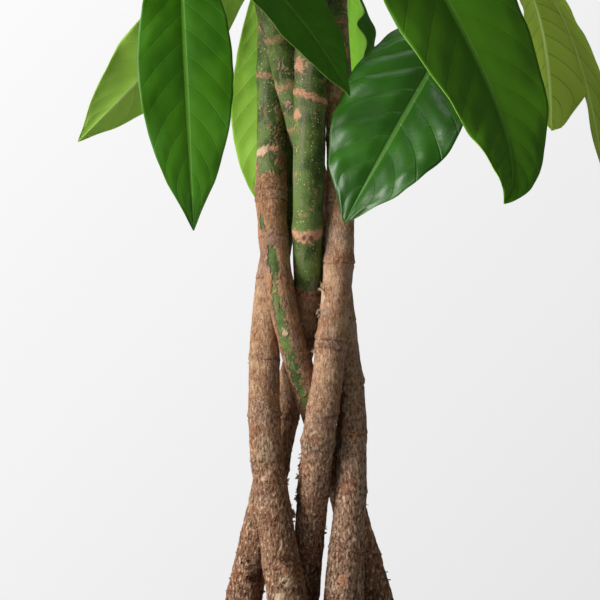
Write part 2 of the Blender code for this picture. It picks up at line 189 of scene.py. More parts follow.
class Graph:
    """A material's node tree, with a short method for each kind of node used here."""

    def __init__(self, name: str) -> None:
        """Makes a Principled material of that name.

        Args:
            name: The material's name.
        """
        self.material = bpy.data.materials.new(name)
        self.material.use_nodes = True
        self.tree = self.material.node_tree
        self.shader = self.tree.nodes["Principled BSDF"]

    def node(self, kind: str, **settings: object) -> bpy.types.Node:
        """Returns a new node with its settings.

        Args:
            kind: The node's type.
            **settings: Its own settings by name.

        Returns:
            The node.
        """
        made = self.tree.nodes.new(kind)
        for key, value in settings.items():
            setattr(made, key, value)
        return made

    def feed(self, socket: Socket, value: Value) -> None:
        """Links a socket, or sets it to a number or a colour.

        Args:
            socket: The input.
            value: What it gets.
        """
        if isinstance(value, bpy.types.NodeSocket):
            self.tree.links.new(value, socket)
        elif isinstance(value, tuple) and len(socket.default_value) == 4:
            socket.default_value = (*value, 1.0)
        else:
            socket.default_value = value

    def stretched(self, source: Socket, scale: Triple) -> Socket:
        """Returns coordinates with each axis scaled.

        Args:
            source: The coordinates.
            scale: The scale of each axis.

        Returns:
            The scaled coordinates.
        """
        mapping = self.node("ShaderNodeMapping")
        mapping.inputs["Scale"].default_value = scale
        self.feed(mapping.inputs["Vector"], source)
        return mapping.outputs["Vector"]

    def place(self, scale: Triple | None = None) -> Socket:
        """Returns the object's coordinates, with each axis scaled if scale is given."""
        source = self.node("ShaderNodeTexCoord").outputs["Object"]
        return self.stretched(source, scale) if scale else source

    def uv(self) -> tuple[Socket, Socket, Socket]:
        """Returns the UV coordinates, and their two parts.

        Returns:
            The coordinates, the part across and the part along.
        """
        source = self.node("ShaderNodeTexCoord").outputs["UV"]
        split = self.node("ShaderNodeSeparateXYZ")
        self.feed(split.inputs[0], source)
        return source, split.outputs["X"], split.outputs["Y"]

    def paint(self, name: str) -> tuple[Socket, Socket, Socket]:
        """Returns the three channels of a painted attribute.

        Args:
            name: The attribute's name.

        Returns:
            Its red, green and blue.
        """
        source = self.node("ShaderNodeAttribute", attribute_name=name)
        split = self.node("ShaderNodeSeparateColor")
        self.feed(split.inputs[0], source.outputs["Color"])
        return split.outputs[0], split.outputs[1], split.outputs[2]

    def noise(self, at: Socket, scale: float, detail: float = 3.0, rough: float = 0.5) -> Socket:
        """Returns a noise texture's value.

        Args:
            at: The coordinates.
            scale: How fine it is.
            detail: How many octaves it has.
            rough: How strong the fine octaves are.

        Returns:
            The value, from 0 to 1.
        """
        made = self.node("ShaderNodeTexNoise")
        self.feed(made.inputs["Vector"], at)
        made.inputs["Scale"].default_value = scale
        made.inputs["Detail"].default_value = detail
        made.inputs["Roughness"].default_value = rough
        return made.outputs["Fac"]

    def cells(self, at: Socket, scale: float, feature: str = "F1") -> Socket:
        """Returns a Voronoi texture's distance.

        Args:
            at: The coordinates.
            scale: How fine it is.
            feature: Which distance it gives.

        Returns:
            The distance.
        """
        made = self.node("ShaderNodeTexVoronoi", feature=feature)
        self.feed(made.inputs["Vector"], at)
        made.inputs["Scale"].default_value = scale
        return made.outputs["Distance"]

    def math(self, operation: str, first: Value, second: Value = 0.0) -> Socket:
        """Returns the result of a Math node.

        Args:
            operation: The sum to do.
            first: Its first value.
            second: Its second value.

        Returns:
            The result.
        """
        made = self.node("ShaderNodeMath", operation=operation)
        self.feed(made.inputs[0], first)
        self.feed(made.inputs[1], second)
        return made.outputs[0]

    def times(self, first: Value, second: Value) -> Socket:
        """Returns the product of two values."""
        return self.math("MULTIPLY", first, second)

    def plus(self, first: Value, second: Value) -> Socket:
        """Returns the sum of two values."""
        return self.math("ADD", first, second)

    def ramp(self, value: Value, low: float, high: float, top: float = 1.0) -> Socket:
        """Returns an eased blend of value between low and high, from 0 to top.

        Args:
            value: What is blended.
            low: Where the blend is 0.
            high: Where it reaches the top.
            top: Its highest value.

        Returns:
            The blend's value.
        """
        made = self.node("ShaderNodeMapRange", interpolation_type="SMOOTHSTEP")
        self.feed(made.inputs["Value"], value)
        made.inputs["From Min"].default_value = low
        made.inputs["From Max"].default_value = high
        made.inputs["To Max"].default_value = top
        return made.outputs["Result"]

    def mix(self, share: Value, first: Value, second: Value) -> Socket:
        """Returns a blend of two colours.

        Args:
            share: How much of the second.
            first: The first colour.
            second: The second colour.

        Returns:
            The blended colour.
        """
        made = self.node("ShaderNodeMix", data_type="RGBA")
        self.feed(made.inputs[0], share)
        self.feed(made.inputs[6], first)
        self.feed(made.inputs[7], second)
        return made.outputs[2]

    def bump(self, height: Socket, distance: float, strength: float = 1.0) -> None:
        """Raises the surface by a height in units of distance metres.

        Args:
            height: The relief.
            distance: The metres that a height of 1 stands for.
            strength: How strongly it shows.
        """
        made = self.node("ShaderNodeBump")
        made.inputs["Strength"].default_value = strength
        made.inputs["Distance"].default_value = distance
        self.feed(made.inputs["Height"], height)
        self.feed(self.shader.inputs["Normal"], made.outputs["Normal"])

    def finish(self, color: Value, roughness: Value, **constants: float) -> bpy.types.Material:
        """Sets the shader's colour, roughness and constants, and returns the material.

        Args:
            color: The base colour.
            roughness: The roughness.
            **constants: Other inputs, with _ for a space.

        Returns:
            The finished material.
        """
        self.feed(self.shader.inputs["Base Color"], color)
        self.feed(self.shader.inputs["Roughness"], roughness)
        for name, value in constants.items():
            self.shader.inputs[name.replace("_", " ")].default_value = value
        return self.material


@dataclass(frozen=True)
class BarkFinish:
    """Bark: brown and fissured where it is old, green and streaked where it is young.

    old_below and young_above are the heights between which brown bark changes its colour.
    """

    tan: Color = (0.53, 0.320, 0.190)
    brown: Color = (0.36, 0.180, 0.098)
    # Dark of the fissures and fine grain, also used for dark ring lines and for painted shadow between
    # stems.
    crevice_and_shadow: Color = (0.066, 0.025, 0.011)
    aged: Color = (0.215, 0.108, 0.062)
    rust: Color = (0.300, 0.090, 0.038)
    pale: Color = (0.70, 0.50, 0.34)
    violet: Color = (0.30, 0.200, 0.165)
    green: Color = (0.092, 0.150, 0.027)
    green_deep: Color = (0.036, 0.064, 0.008)
    bloom: Color = (0.170, 0.155, 0.100)
    frost: Color = (0.300, 0.300, 0.220)
    gold: Color = (0.60, 0.46, 0.22)
    scar: Color = (0.53, 0.290, 0.180)
    lichen: Color = (0.40, 0.330, 0.225)
    orange: Color = (0.58, 0.26, 0.07)
    old_below: float = 0.30
    young_above: float = 0.50

    def woody(self, graph: Graph, at: Socket, fibres: Socket, grain: Socket) -> Socket:
        """Returns the colour of brown bark.

        Args:
            graph: The material in the making.
            at: The object's coordinates.
            fibres: The value of the upright fissures.
            grain: The value of the fine grain.

        Returns:
            The colour's socket.
        """
        height = graph.node("ShaderNodeSeparateXYZ")
        graph.feed(height.inputs[0], at)
        age = graph.ramp(height.outputs["Z"], self.young_above, self.old_below)
        patches = graph.noise(at, 80.0, 5.0, 0.6)
        color = graph.mix(graph.ramp(patches, 0.42, 0.60), self.tan, self.brown)
        violet = graph.ramp(graph.noise(at, 48.0, 3.0), 0.50, 0.62, 0.55)
        color = graph.mix(violet, color, self.violet)
        color = graph.mix(graph.times(age, 0.66), color, self.aged)
        rust = graph.ramp(graph.noise(at, 60.0, 3.0), 0.54, 0.66, 0.55)
        color = graph.mix(graph.times(rust, age), color, self.rust)
        worn = graph.plus(graph.times(age, 0.62), 0.35)
        cracks = graph.times(graph.ramp(fibres, 0.50, 0.39), worn)
        color = graph.mix(cracks, color, self.crevice_and_shadow)
        # Pale on the ridges between fissures and on the peaks of the fine grain: partly the bark's own
        # paler outer layer, partly painted highlight where light catches them.
        ridges_and_highlights = graph.times(graph.ramp(fibres, 0.55, 0.63), worn)
        color = graph.mix(ridges_and_highlights, color, self.pale)
        color = graph.mix(graph.ramp(grain, 0.58, 0.68, 0.60), color, self.pale)
        return graph.mix(graph.ramp(grain, 0.42, 0.30, 0.60), color, self.crevice_and_shadow)

    def young(self, graph: Graph, at: Socket, grain: Socket) -> Socket:
        """Returns the colour of green bark, with upright streaks and pale flecks.

        Args:
            graph: The material in the making.
            at: The object's coordinates.
            grain: The value of the fine grain.

        Returns:
            The colour's socket.
        """
        tone = graph.noise(at, 70.0, 3.0)
        color = graph.mix(graph.ramp(tone, 0.38, 0.60), self.green_deep, self.green)
        streaks = graph.noise(graph.place((1.0, 1.0, 0.07)), 190.0, 4.0, 0.6)
        color = graph.mix(graph.ramp(streaks, 0.50, 0.66, 0.70), color, self.bloom)
        blotches = graph.ramp(graph.noise(at, 150.0, 4.0), 0.62, 0.68, 0.6)
        color = graph.mix(blotches, color, self.brown)
        flecks = graph.ramp(graph.cells(at, 420.0), 0.24, 0.14, 0.85)
        sparse = graph.ramp(graph.noise(at, 110.0, 2.0), 0.50, 0.58)
        color = graph.mix(graph.times(flecks, sparse), color, self.gold)
        color = graph.mix(graph.ramp(grain, 0.57, 0.66, 0.5), color, self.frost)
        return graph.mix(graph.ramp(grain, 0.42, 0.32, 0.5), color, self.green_deep)

    def build(self, name: str) -> bpy.types.Material:
        """Returns the bark material, under a name.

        Args:
            name: The material's name.

        Returns:
            The material, which reads the painted zones and spots.
        """
        graph = Graph(name)
        at = graph.place()
        fibres = graph.noise(graph.place((1.0, 1.0, 0.46)), 620.0, 6.0, 0.62)
        grain = graph.noise(at, 1150.0, 3.0, 0.6)
        green, scar, dark = graph.paint("zones")
        lichen, orange, bare = graph.paint("spots")
        color = graph.mix(green, self.woody(graph, at, fibres, grain), self.young(graph, at, grain))
        ring = graph.mix(graph.ramp(grain, 0.52, 0.40, 0.75), self.scar, self.rust)
        color = graph.mix(scar, color, ring)
        broken = graph.ramp(fibres, 0.44, 0.56, 0.8)
        color = graph.mix(graph.times(lichen, broken), color, self.lichen)
        color = graph.mix(graph.times(orange, broken), color, self.orange)
        color = graph.mix(graph.times(bare, 0.9), color, self.pale)
        # The dark zone: dark ring lines, and painted shadow where a neighbouring stem shades the bark.
        color = graph.mix(graph.times(dark, 0.8), color, self.crevice_and_shadow)
        relief = graph.plus(fibres, graph.times(grain, 0.45))
        calm = graph.math("SUBTRACT", 1.0, graph.times(green, 0.78))
        graph.bump(graph.times(relief, calm), 2.5 * MM)
        roughness = graph.mix(green, (0.86, 0.86, 0.86), (0.56, 0.56, 0.56))
        return graph.finish(color, roughness, Specular_IOR_Level=0.22)


@dataclass(frozen=True)
class VeinPattern:
    """Where a leaflet's side veins run, in its own across and along coordinates."""

    count: int = 12
    rise: float = 0.150
    curve: float = 1.25

    def phase(self, across: float, along: float) -> float:
        """Returns the vein count at a place, a whole number on each vein."""
        shift = 0.5 if across > 0 else 0.0
        return (along - self.rise * abs(across) ** self.curve) * self.count + shift

    def sockets(self, graph: Graph) -> tuple[Socket, Socket, Socket]:
        """Adds the pattern to a material.

        Args:
            graph: The material in the making.

        Returns:
            The distance from the midrib, from a side vein, and the UV coordinates.
        """
        place, u, v = graph.uv()
        across = graph.times(graph.math("ABSOLUTE", graph.math("SUBTRACT", u, 0.5)), 2.0)
        bend = graph.times(graph.math("POWER", across, self.curve), self.rise)
        turns = graph.times(graph.math("SUBTRACT", v, bend), float(self.count))
        shift = graph.times(graph.math("GREATER_THAN", u, 0.5), 0.5)
        aside = graph.math("PINGPONG", graph.plus(turns, shift), 0.5)
        return across, aside, place


@dataclass(frozen=True)
class BladeFinish:
    """One side of a leaflet: its colours, its veins and its gloss.

    olive and pale are the colours that the painted tone blends in, and thread is the side
    veins' colour on an olive leaflet. Where the tone lightens a leaflet towards body_light and
    pale, that is painted light, standing in for light that falls on the leaflet or shines
    through it. vein_height is negative where the veins are sunken, and vein_share says how
    much of their own colour they show.
    """

    name: str
    body: Color
    body_light: Color
    vein: Color
    midrib: Color
    olive: Color
    pale: Color
    roughness: float
    vein_height: float
    vein_share: float
    shine: float
    coat: float
    thread: Color = (0.060, 0.120, 0.003)
    veins: VeinPattern = field(default_factory=VeinPattern)

    NET_STRETCH = (0.30, 1.0, 1.0)
    NET_SCALE = 46.0
    RELIEF = 0.16 * MM

    def build(self) -> bpy.types.Material:
        """Returns the material of this side.

        Returns:
            The material, which reads the UV map and the painted tone.
        """
        graph = Graph(self.name)
        across, aside, place = self.veins.sockets(graph)
        olive, bright, pale = graph.paint("tone")
        at = graph.place()
        color = graph.mix(graph.ramp(graph.noise(at, 32.0, 3.0), 0.36, 0.64), self.body, self.body_light)
        # Painted light: the tone's bright share, and its pale share below, lighten a leaflet that light
        # falls on or shines through; its olive share is the leaflet's own older colour.
        color = graph.mix(graph.times(bright, 0.5), color, self.body_light)
        color = graph.mix(olive, color, self.olive)
        color = graph.mix(pale, color, self.pale)
        cells_at = graph.stretched(place, self.NET_STRETCH)
        net = graph.cells(cells_at, self.NET_SCALE, "DISTANCE_TO_EDGE")
        lace = graph.ramp(net, 0.10, 0.0)
        color = graph.mix(graph.times(lace, 0.16 * self.vein_share), color, self.vein)
        side = graph.ramp(aside, 0.055, 0.012)
        fade = graph.ramp(across, 1.0, 0.75)
        vein = graph.mix(graph.ramp(olive, 0.1, 0.7), self.vein, self.thread)
        shown = graph.times(graph.times(side, fade), self.vein_share)
        color = graph.mix(shown, color, vein)
        rib = graph.ramp(across, 0.062, 0.030)
        color = graph.mix(rib, color, self.midrib)
        ridge = graph.times(rib, self.vein_height * 1.2)
        relief = graph.plus(graph.times(side, self.vein_height), ridge)
        relief = graph.plus(relief, graph.times(lace, self.vein_height * 0.10))
        relief = graph.plus(relief, graph.times(graph.noise(at, 150.0, 2.0), 0.25))
        graph.bump(relief, self.RELIEF, 0.8)
        return graph.finish(
            color,
            self.roughness,
            Specular_IOR_Level=self.shine,
            Coat_Weight=self.coat,
            Coat_Roughness=0.32,
        )


TOP_SIDE = BladeFinish(
    name="leaf_upper_side",
    body=(0.026, 0.118, 0.0004),
    body_light=(0.046, 0.178, 0.0012),
    vein=(0.052, 0.180, 0.006),
    midrib=(0.100, 0.270, 0.020),
    olive=(0.056, 0.112, 0.0006),
    pale=(0.150, 0.360, 0.020),
    roughness=0.48,
    vein_height=-0.60,
    vein_share=0.15,
    shine=0.26,
    coat=0.0,
)
GLOSSY_SIDE = replace(
    TOP_SIDE,
    name="leaf_glossy_side",
    body=(0.012, 0.070, 0.0012),
    body_light=(0.022, 0.115, 0.003),
    midrib=(0.060, 0.165, 0.020),
    roughness=0.42,
    vein_height=-2.6,
    shine=0.42,
    coat=0.06,
)
# The underside's own colour is paler than the upper side; its greens are lighter still, painted light that
# stands in for light shining through the blade.
UNDER_SIDE = BladeFinish(
    name="leaf_underside",
    body=(0.125, 0.290, 0.012),
    body_light=(0.220, 0.420, 0.034),
    vein=(0.260, 0.480, 0.075),
    midrib=(0.400, 0.560, 0.150),
    olive=(0.270, 0.375, 0.032),
    pale=(0.420, 0.680, 0.110),
    roughness=0.55,
    vein_height=0.8,
    vein_share=0.55,
    shine=0.22,
    coat=0.0,
)


@dataclass(frozen=True)
class PetioleFinish:
    """Leaf stalks: green, with a brown tinge and fine pale flecks."""

    green: Color = (0.130, 0.245, 0.045)
    tinge: Color = (0.190, 0.130, 0.050)
    fleck: Color = (0.40, 0.44, 0.20)

    def build(self) -> bpy.types.Material:
        """Returns the petiole material.

        Returns:
            The material.
        """
        graph = Graph("petiole")
        at = graph.place()
        color = graph.mix(graph.ramp(graph.noise(at, 60.0, 3.0), 0.48, 0.66, 0.6), self.green, self.tinge)
        fine = graph.noise(graph.place((1.0, 1.0, 0.3)), 900.0, 3.0)
        color = graph.mix(graph.ramp(fine, 0.62, 0.70, 0.4), color, self.fleck)
        graph.bump(fine, 0.3 * MM, 0.6)
        return graph.finish(color, 0.45)


@dataclass(frozen=True)
class StonewareFinish:
    """The pot: matte off-white stoneware with throwing lines and dark specks."""

    clay: Color = (0.70, 0.67, 0.61)
    warm: Color = (0.60, 0.555, 0.49)
    speck: Color = (0.16, 0.11, 0.07)

    def build(self) -> bpy.types.Material:
        """Returns the stoneware material.

        Returns:
            The material.
        """
        graph = Graph("pot_stoneware")
        at = graph.place()
        lines = graph.noise(graph.place((0.06, 0.06, 1.0)), 210.0, 4.0, 0.6)
        cloud = graph.noise(at, 14.0, 4.0)
        color = graph.mix(graph.ramp(cloud, 0.38, 0.66, 0.7), self.clay, self.warm)
        color = graph.mix(graph.ramp(lines, 0.55, 0.72, 0.25), color, self.warm)
        specks = graph.ramp(graph.cells(at, 330.0), 0.16, 0.06)
        sparse = graph.ramp(graph.noise(at, 120.0, 2.0), 0.52, 0.60)
        shown = graph.times(graph.times(specks, sparse), 0.8)
        color = graph.mix(shown, color, self.speck)
        fine = graph.noise(at, 900.0, 3.0)
        relief = graph.plus(lines, graph.times(fine, 0.35))
        graph.bump(relief, 0.5 * MM, 0.7)
        return graph.finish(color, graph.ramp(cloud, 1.0, 0.0, 0.62))


@dataclass(frozen=True)
class GroundFinish:
    """Loose potting matter: two colours mottled together, dry or moist."""

    name: str
    dark: Color
    light: Color
    roughness: float
    grain: float

    def build(self) -> bpy.types.Material:
        """Returns the material.

        Returns:
            The mottled material.
        """
        graph = Graph(self.name)
        at = graph.place()
        coarse = graph.noise(at, self.grain, 5.0, 0.65)
        fine = graph.noise(at, self.grain * 5.0, 4.0, 0.6)
        color = graph.mix(graph.ramp(coarse, 0.38, 0.62), self.dark, self.light)
        color = graph.mix(graph.ramp(fine, 0.45, 0.30, 0.7), color, self.dark)
        graph.bump(graph.plus(coarse, fine), 1.2 * MM)
        return graph.finish(color, self.roughness)


POTTING_MIX = GroundFinish("potting_mix", (0.018, 0.011, 0.007), (0.085, 0.050, 0.030), 0.95, 120.0)
BARK_CHIPS = GroundFinish("bark_chips", (0.060, 0.028, 0.015), (0.210, 0.115, 0.062), 0.85, 260.0)
PERLITE = GroundFinish("perlite", (0.62, 0.60, 0.56), (0.80, 0.79, 0.76), 0.9, 500.0)


class Finishes:
    """Every material of the plant, each made once."""

    def __init__(self) -> None:
        """Builds the materials."""
        self.bark = {look.node: look.bark.build(look.node + "_bark") for look in STEM_LOOKS}
        self.blade = (TOP_SIDE.build(), UNDER_SIDE.build())
        self.glossy = GLOSSY_SIDE.build()
        self.petiole = PetioleFinish().build()
        self.pot = StonewareFinish().build()
        self.mix = POTTING_MIX.build()
        self.chip = BARK_CHIPS.build()
        self.perlite = PERLITE.build()


# ---------------------------------------------------------------------------
# Stems
# ---------------------------------------------------------------------------


class Mark(Enum):
    """What a patch of bark shows."""

    GREEN = "green"
    SCAR = "scar"
    DARK = "dark"
    LICHEN = "lichen"
    ORANGE = "orange"
    BARE = "bare"


@dataclass(frozen=True)
class Ring:
    """The scar that a fallen leaf or a joint leaves round a stem.

    dip lowers the ring on the stem's front side, tilt lowers it on the right, swell is how
    far it stands out, band is half its height on the stem, tint how much of its own colour
    it shows, and taper how much its band narrows away from the front. Past its two reaches
    a ring has no relief and no tint.
    """

    height: float
    swell: float = 0.5 * MM
    band: float = 2.0 * MM
    tint: float = 0.4
    dip: float = 0.0
    tilt: float = 0.0
    taper: float = 0.0

    RELIEF_REACH = 12 * MM
    TINT_REACH = 10 * MM

    def away(self, height: float, angle: float) -> float:
        """Returns how far above the ring a height is, at an angle in radians."""
        return height - self.height + self.dip * math.cos(angle) + self.tilt * math.sin(angle)

    def band_at(self, angle: float) -> float:
        """Returns the ring's half height at an angle in radians."""
        return self.band * (1.0 - self.taper * (1.0 - max(0.0, math.cos(angle))))


@dataclass(frozen=True)
class Patch:
    """A marked place on a stem: its middle height, half height, angle and half angle.

    Angles are in degrees round the stem from its front, growing to the right. slant moves
    the patch round as it goes up, in degrees per metre. Its ragged edge lies within RAGGED
    half heights of its middle.
    """

    mark: Mark
    height: float
    reach: float
    angle: float
    spread: float
    slant: float = 0.0

    RAGGED = 1.6


@dataclass(frozen=True)
class Crumbs:
    """A cluster of loose bark flakes: place on the stem, number, size and scatter."""

    height: float
    angle: float
    count: int
    size: float = 2.4 * MM
    scatter: float = 5.0 * MM


@dataclass(frozen=True)
class StemLook:
    """What sets one stem's bark apart from the others'."""

    node: str
    green_above: float
    rings: tuple[Ring, ...]
    patches: tuple[Patch, ...] = ()
    crumbs: tuple[Crumbs, ...] = ()
    flecked: float = 0.0
    bark: BarkFinish = BarkFinish()


class StemRoute:
    """A stem's centre line and radius, measured from slices of its CAD solid."""

    SLICE = 6.0 * MM
    EASINGS = 4
    NEAR = 4 * MM
    OCTAGON = 2.0 * math.sqrt(2.0)

    def __init__(self, node: bpy.types.Object) -> None:
        """Slices the CAD node from foot to tip.

        Args:
            node: The CAD solid's object.
        """
        mesh = node.data
        mesh.calc_loop_triangles()
        corners = [v.co for v in mesh.vertices]
        triangles = [[corners[i] for i in t.vertices] for t in mesh.loop_triangles]
        low = min(c.z for c in corners)
        high = max(c.z for c in corners)
        count = int((high - low) / self.SLICE)
        heights = [low + (high - low) * (i + 0.5) / count for i in range(count)]
        slices = [self._slice(triangles, height) for height in heights]
        centres = [centre for centre, _ in slices]
        self.points: list[Vector] = []
        self.radii: list[float] = []
        for i, (centre, area) in enumerate(slices):
            before, after = centres[max(i - 1, 0)], centres[min(i + 1, count - 1)]
            lean = (after - before).normalized().z if after != before else 1.0
            self.points.append(centre)
            self.radii.append(math.sqrt(area * lean / self.OCTAGON))
        self._ease(self.EASINGS)

    @staticmethod
    def _slice(triangles: list[list[Vector]], height: float) -> tuple[Vector, float]:
        """Returns the centre and the area of the solid's section at a height.

        Args:
            triangles: The solid's triangles.
            height: Where to cut it.

        Returns:
            The section's centre and area.
        """
        doubled, moment = 0.0, Vector((0.0, 0.0))
        for tri in triangles:
            lows = [c.z < height for c in tri]
            if all(lows) or not any(lows):
                continue
            cut = []
            for a, b in ((0, 1), (1, 2), (2, 0)):
                if lows[a] != lows[b]:
                    share = (height - tri[a].z) / (tri[b].z - tri[a].z)
                    cut.append((tri[a].lerp(tri[b], share).xy, lows[a]))
            (first, _), (second, _) = sorted(cut, key=lambda end: end[1])
            cross = first.cross(second)
            doubled += cross
            moment += (first + second) * cross
        centre = moment / (3.0 * doubled)
        return Vector((centre.x, centre.y, height)), abs(doubled) / 2.0

    def _ease(self, times: int) -> None:
        """Smooths the corners that the CAD solid's straight stretches leave.

        Args:
            times: How often to smooth.
        """
        for _ in range(times):
            for line in (self.points, self.radii):
                eased = [
                    line[i] * 0.5 + (line[i - 1] + line[i + 1]) * 0.25
                    for i in range(1, len(line) - 1)
                ]
                line[1:-1] = eased

    def at(self, height: float) -> tuple[Vector, float]:
        """Returns the centre and the radius at a height.

        Args:
            height: The height in the plant, in metres.

        Returns:
            The centre and the radius.
        """
        first, last = self.points[0].z, self.points[-1].z
        place = (height - first) / (last - first) * (len(self.points) - 1)
        place = min(max(place, 0.0), len(self.points) - 1.001)
        low = int(place)
        share = place - low
        centre = self.points[low].lerp(self.points[low + 1], share)
        return centre, self.radii[low] * (1 - share) + self.radii[low + 1] * share

    def frame(self, height: float) -> tuple[Vector, float, Vector, Vector]:
        """Returns the centre, the radius, and the stem's front and right directions.

        Args:
            height: The height in the plant, in metres.

        Returns:
            The centre, the radius, the front and the right direction.
        """
        centre, radius = self.at(height)
        above, below = self.at(height + self.NEAR)[0], self.at(height - self.NEAR)[0]
        along = (above - below).normalized()
        front = (FRONT - along * FRONT.dot(along)).normalized()
        return centre, radius, front, along.cross(front)

    def surface(self, height: float, angle: float, out: float = 0.0) -> tuple[Vector, Vector]:
        """Returns a point on the bark and its outward direction, for an angle in degrees.

        Args:
            height: The height in the plant, in metres.
            angle: The angle round the stem, from its front to the right.
            out: How far off the plain tube.

        Returns:
            The point and the outward direction.
        """
        centre, radius, front, right = self.frame(height)
        turn = math.radians(angle)
        outward = front * math.cos(turn) + right * math.sin(turn)
        return centre + outward * (radius + out), outward


@dataclass
class Stem:
    """One braided stem: bark relief, painted zones, rings and loose flakes."""

    look: StemLook
    route: StemRoute
    number: int
    around: int = 96
    fine_step: float = 1.1 * MM
    coarse_step: float = 3.5 * MM
    fine_below: float = 0.73
    foot: float = 0.190
    clear: float = 0.15 * MM
    scattered: int = 90
    smooth_above: float = 0.48
    rough_below: float = 0.33

    SEED = 40
    APART = 3.0
    TIP_TAPER = (0.97, 0.80)
    FLAKE = 0.35 * MM
    SCATTER_FROM = 0.235
    SCATTER_TO = 0.50

    def heights(self) -> list[float]:
        """Returns the heights of the rings of the mesh, close together where it is seen best.

        Returns:
            The heights from foot to tip.
        """
        top = self.route.points[-1].z
        rows, height = [], self.foot
        while height < top - self.coarse_step:
            rows.append(height)
            height += self.fine_step if height < self.fine_below else self.coarse_step
        rows.extend((top - 1.6 * MM, top - 0.5 * MM, top))
        return rows

    def greenness(self, height: float, place: Vector) -> float:
        """Returns how green the bark is, with a ragged edge where it turns brown.

        Args:
            height: The height in the plant, in metres.
            place: The point on the plain tube.

        Returns:
            0 on brown bark, 1 on green.
        """
        ragged = 10.0 * MM * noise.noise(place * 90.0) + 4.0 * MM * noise.noise(place * 320.0)
        edge = self.look.green_above
        return smoothstep(edge - 1.5 * MM, edge + 1.5 * MM, height + ragged)

    def relief(self, height: float, angle: float, place: Vector, old: float) -> float:
        """Returns how far the bark stands out at a place, in metres.

        Args:
            height: The height on the stem.
            angle: The angle round it in radians.
            place: The point on the plain tube.
            old: 0 on smooth green bark, 1 on brown bark.

        Returns:
            The offset along the outward direction.
        """
        out = 0.60 * MM * noise.noise(place * 34.0) + 0.30 * MM * noise.noise(place * 95.0)
        stretched = Vector((place.x, place.y, place.z * 0.42))
        fissure = 1.0 - abs(noise.noise(stretched * 360.0)) * 2.6
        lumps = noise.noise(place * 430.0) + 0.6 * noise.noise(place * 800.0)
        age = 0.30 + 0.70 * smoothstep(self.smooth_above, self.rough_below, height)
        out -= 0.46 * MM * old * age * max(0.0, fissure) ** 2
        out += 0.34 * MM * old * age * lumps
        for ring in self.look.rings:
            away = ring.away(height, angle)
            if abs(away) < ring.RELIEF_REACH:
                away += 0.9 * MM * noise.noise(place * 150.0)
                out += ring.swell * bell(away, 5.0 * MM)
                out += 0.5 * ring.swell * bell(away - ring.band * 0.5, ring.band * 0.5)
                out -= 0.8 * ring.swell * bell(away + ring.band * 0.7, 0.8 * MM)
        return out

    def paint(self, height: float, angle: float, place: Vector, green: float) -> tuple[Color, Color]:
        """Returns the zone colours (green, scar, dark) and spot colours at a place.

        Args:
            height: The height in the plant, in metres.
            angle: The angle round the stem in radians.
            place: The point on the plain tube.
            green: How green the bark is there.

        Returns:
            The zones and the spots (lichen, orange, bare).
        """
        amount = {mark: 0.0 for mark in Mark}
        amount[Mark.GREEN] = green
        wobble = noise.noise(place * 210.0)
        fine = noise.noise(place * 560.0)
        if green > 0.2:
            shade = smoothstep(-0.3, 1.0, math.sin(angle))
            mottle = 0.7 * noise.noise(place * 120.0) + 0.6 * fine - 0.30 + 0.5 * shade
            brown = smoothstep(0.05, 0.30, mottle)
            amount[Mark.GREEN] *= 1.0 - self.look.flecked * brown
        for ring in self.look.rings:
            away = ring.away(height, angle)
            if abs(away) < ring.TINT_REACH:
                away += 1.2 * MM * wobble
                band = ring.band_at(angle)
                show = smoothstep(1.2, 0.6, abs(away) / band + 0.7 * fine + 0.25 * wobble)
                amount[Mark.SCAR] = max(amount[Mark.SCAR], ring.tint * show)
                line = bell(away + band * 0.8, 0.7 * MM) * smoothstep(-0.40, 0.1, fine)
                dots = smoothstep(0.16, 0.30, fine) * bell(away - 1.2 * MM, 2.4 * MM)
                strength = 0.45 + 0.5 * (1.0 - green)
                amount[Mark.DARK] = max(amount[Mark.DARK], strength * line, 0.8 * strength * dots)
        for patch in self.look.patches:
            up = (height - patch.height) / patch.reach
            if abs(up) > patch.RAGGED:
                continue
            middle = patch.angle + patch.slant * (height - patch.height)
            aside = (math.degrees(angle) - middle + 180.0) % 360.0 - 180.0
            inside = math.hypot(up, aside / patch.spread) + 0.65 * wobble + 0.50 * fine
            amount[patch.mark] = max(amount[patch.mark], smoothstep(1.15, 0.85, inside))
        amount[Mark.GREEN] *= 1.0 - amount[Mark.BARE]
        zones = (amount[Mark.GREEN], amount[Mark.SCAR], amount[Mark.DARK])
        return zones, (amount[Mark.LICHEN], amount[Mark.ORANGE], amount[Mark.BARE])

    def bark_mesh(self) -> bmesh.types.BMesh:
        """Returns the stem's bark: a grid rolled round the route and closed at both ends.

        Returns:
            The closed shell, with its zones and spots painted.
        """
        rows = self.heights()
        bm = wrapped_grid(self.around, len(rows) - 1)
        zone_layer = bm.verts.layers.float_color.new("zones")
        spot_layer = bm.verts.layers.float_color.new("spots")
        frames = [self.route.frame(height) for height in rows]
        last = len(rows) - 1
        for vert in bm.verts:
            angle = math.pi * vert.co.x
            row = round((vert.co.y + 1) / 2 * last)
            height = rows[row]
            centre, radius, front, right = frames[row]
            outward = front * math.cos(angle) + right * math.sin(angle)
            place = centre + outward * radius + Vector((self.number * self.APART, 0.0, 0.0))
            green = self.greenness(height, place)
            zones, spots = self.paint(height, angle, place, green)
            out = self.relief(height, angle, place, 1.0 - 0.85 * zones[0]) - self.clear
            if row >= last - 1:
                radius *= self.TIP_TAPER[row - last + 1]
            vert[zone_layer] = (*zones, 1.0)
            vert[spot_layer] = (*spots, 1.0)
            vert.co = centre + outward * (radius + out)
        bmesh.ops.remove_doubles(bm, verts=bm.verts, dist=1e-6)
        bmesh.ops.holes_fill(bm, edges=[e for e in bm.edges if e.is_boundary], sides=0)
        return bm

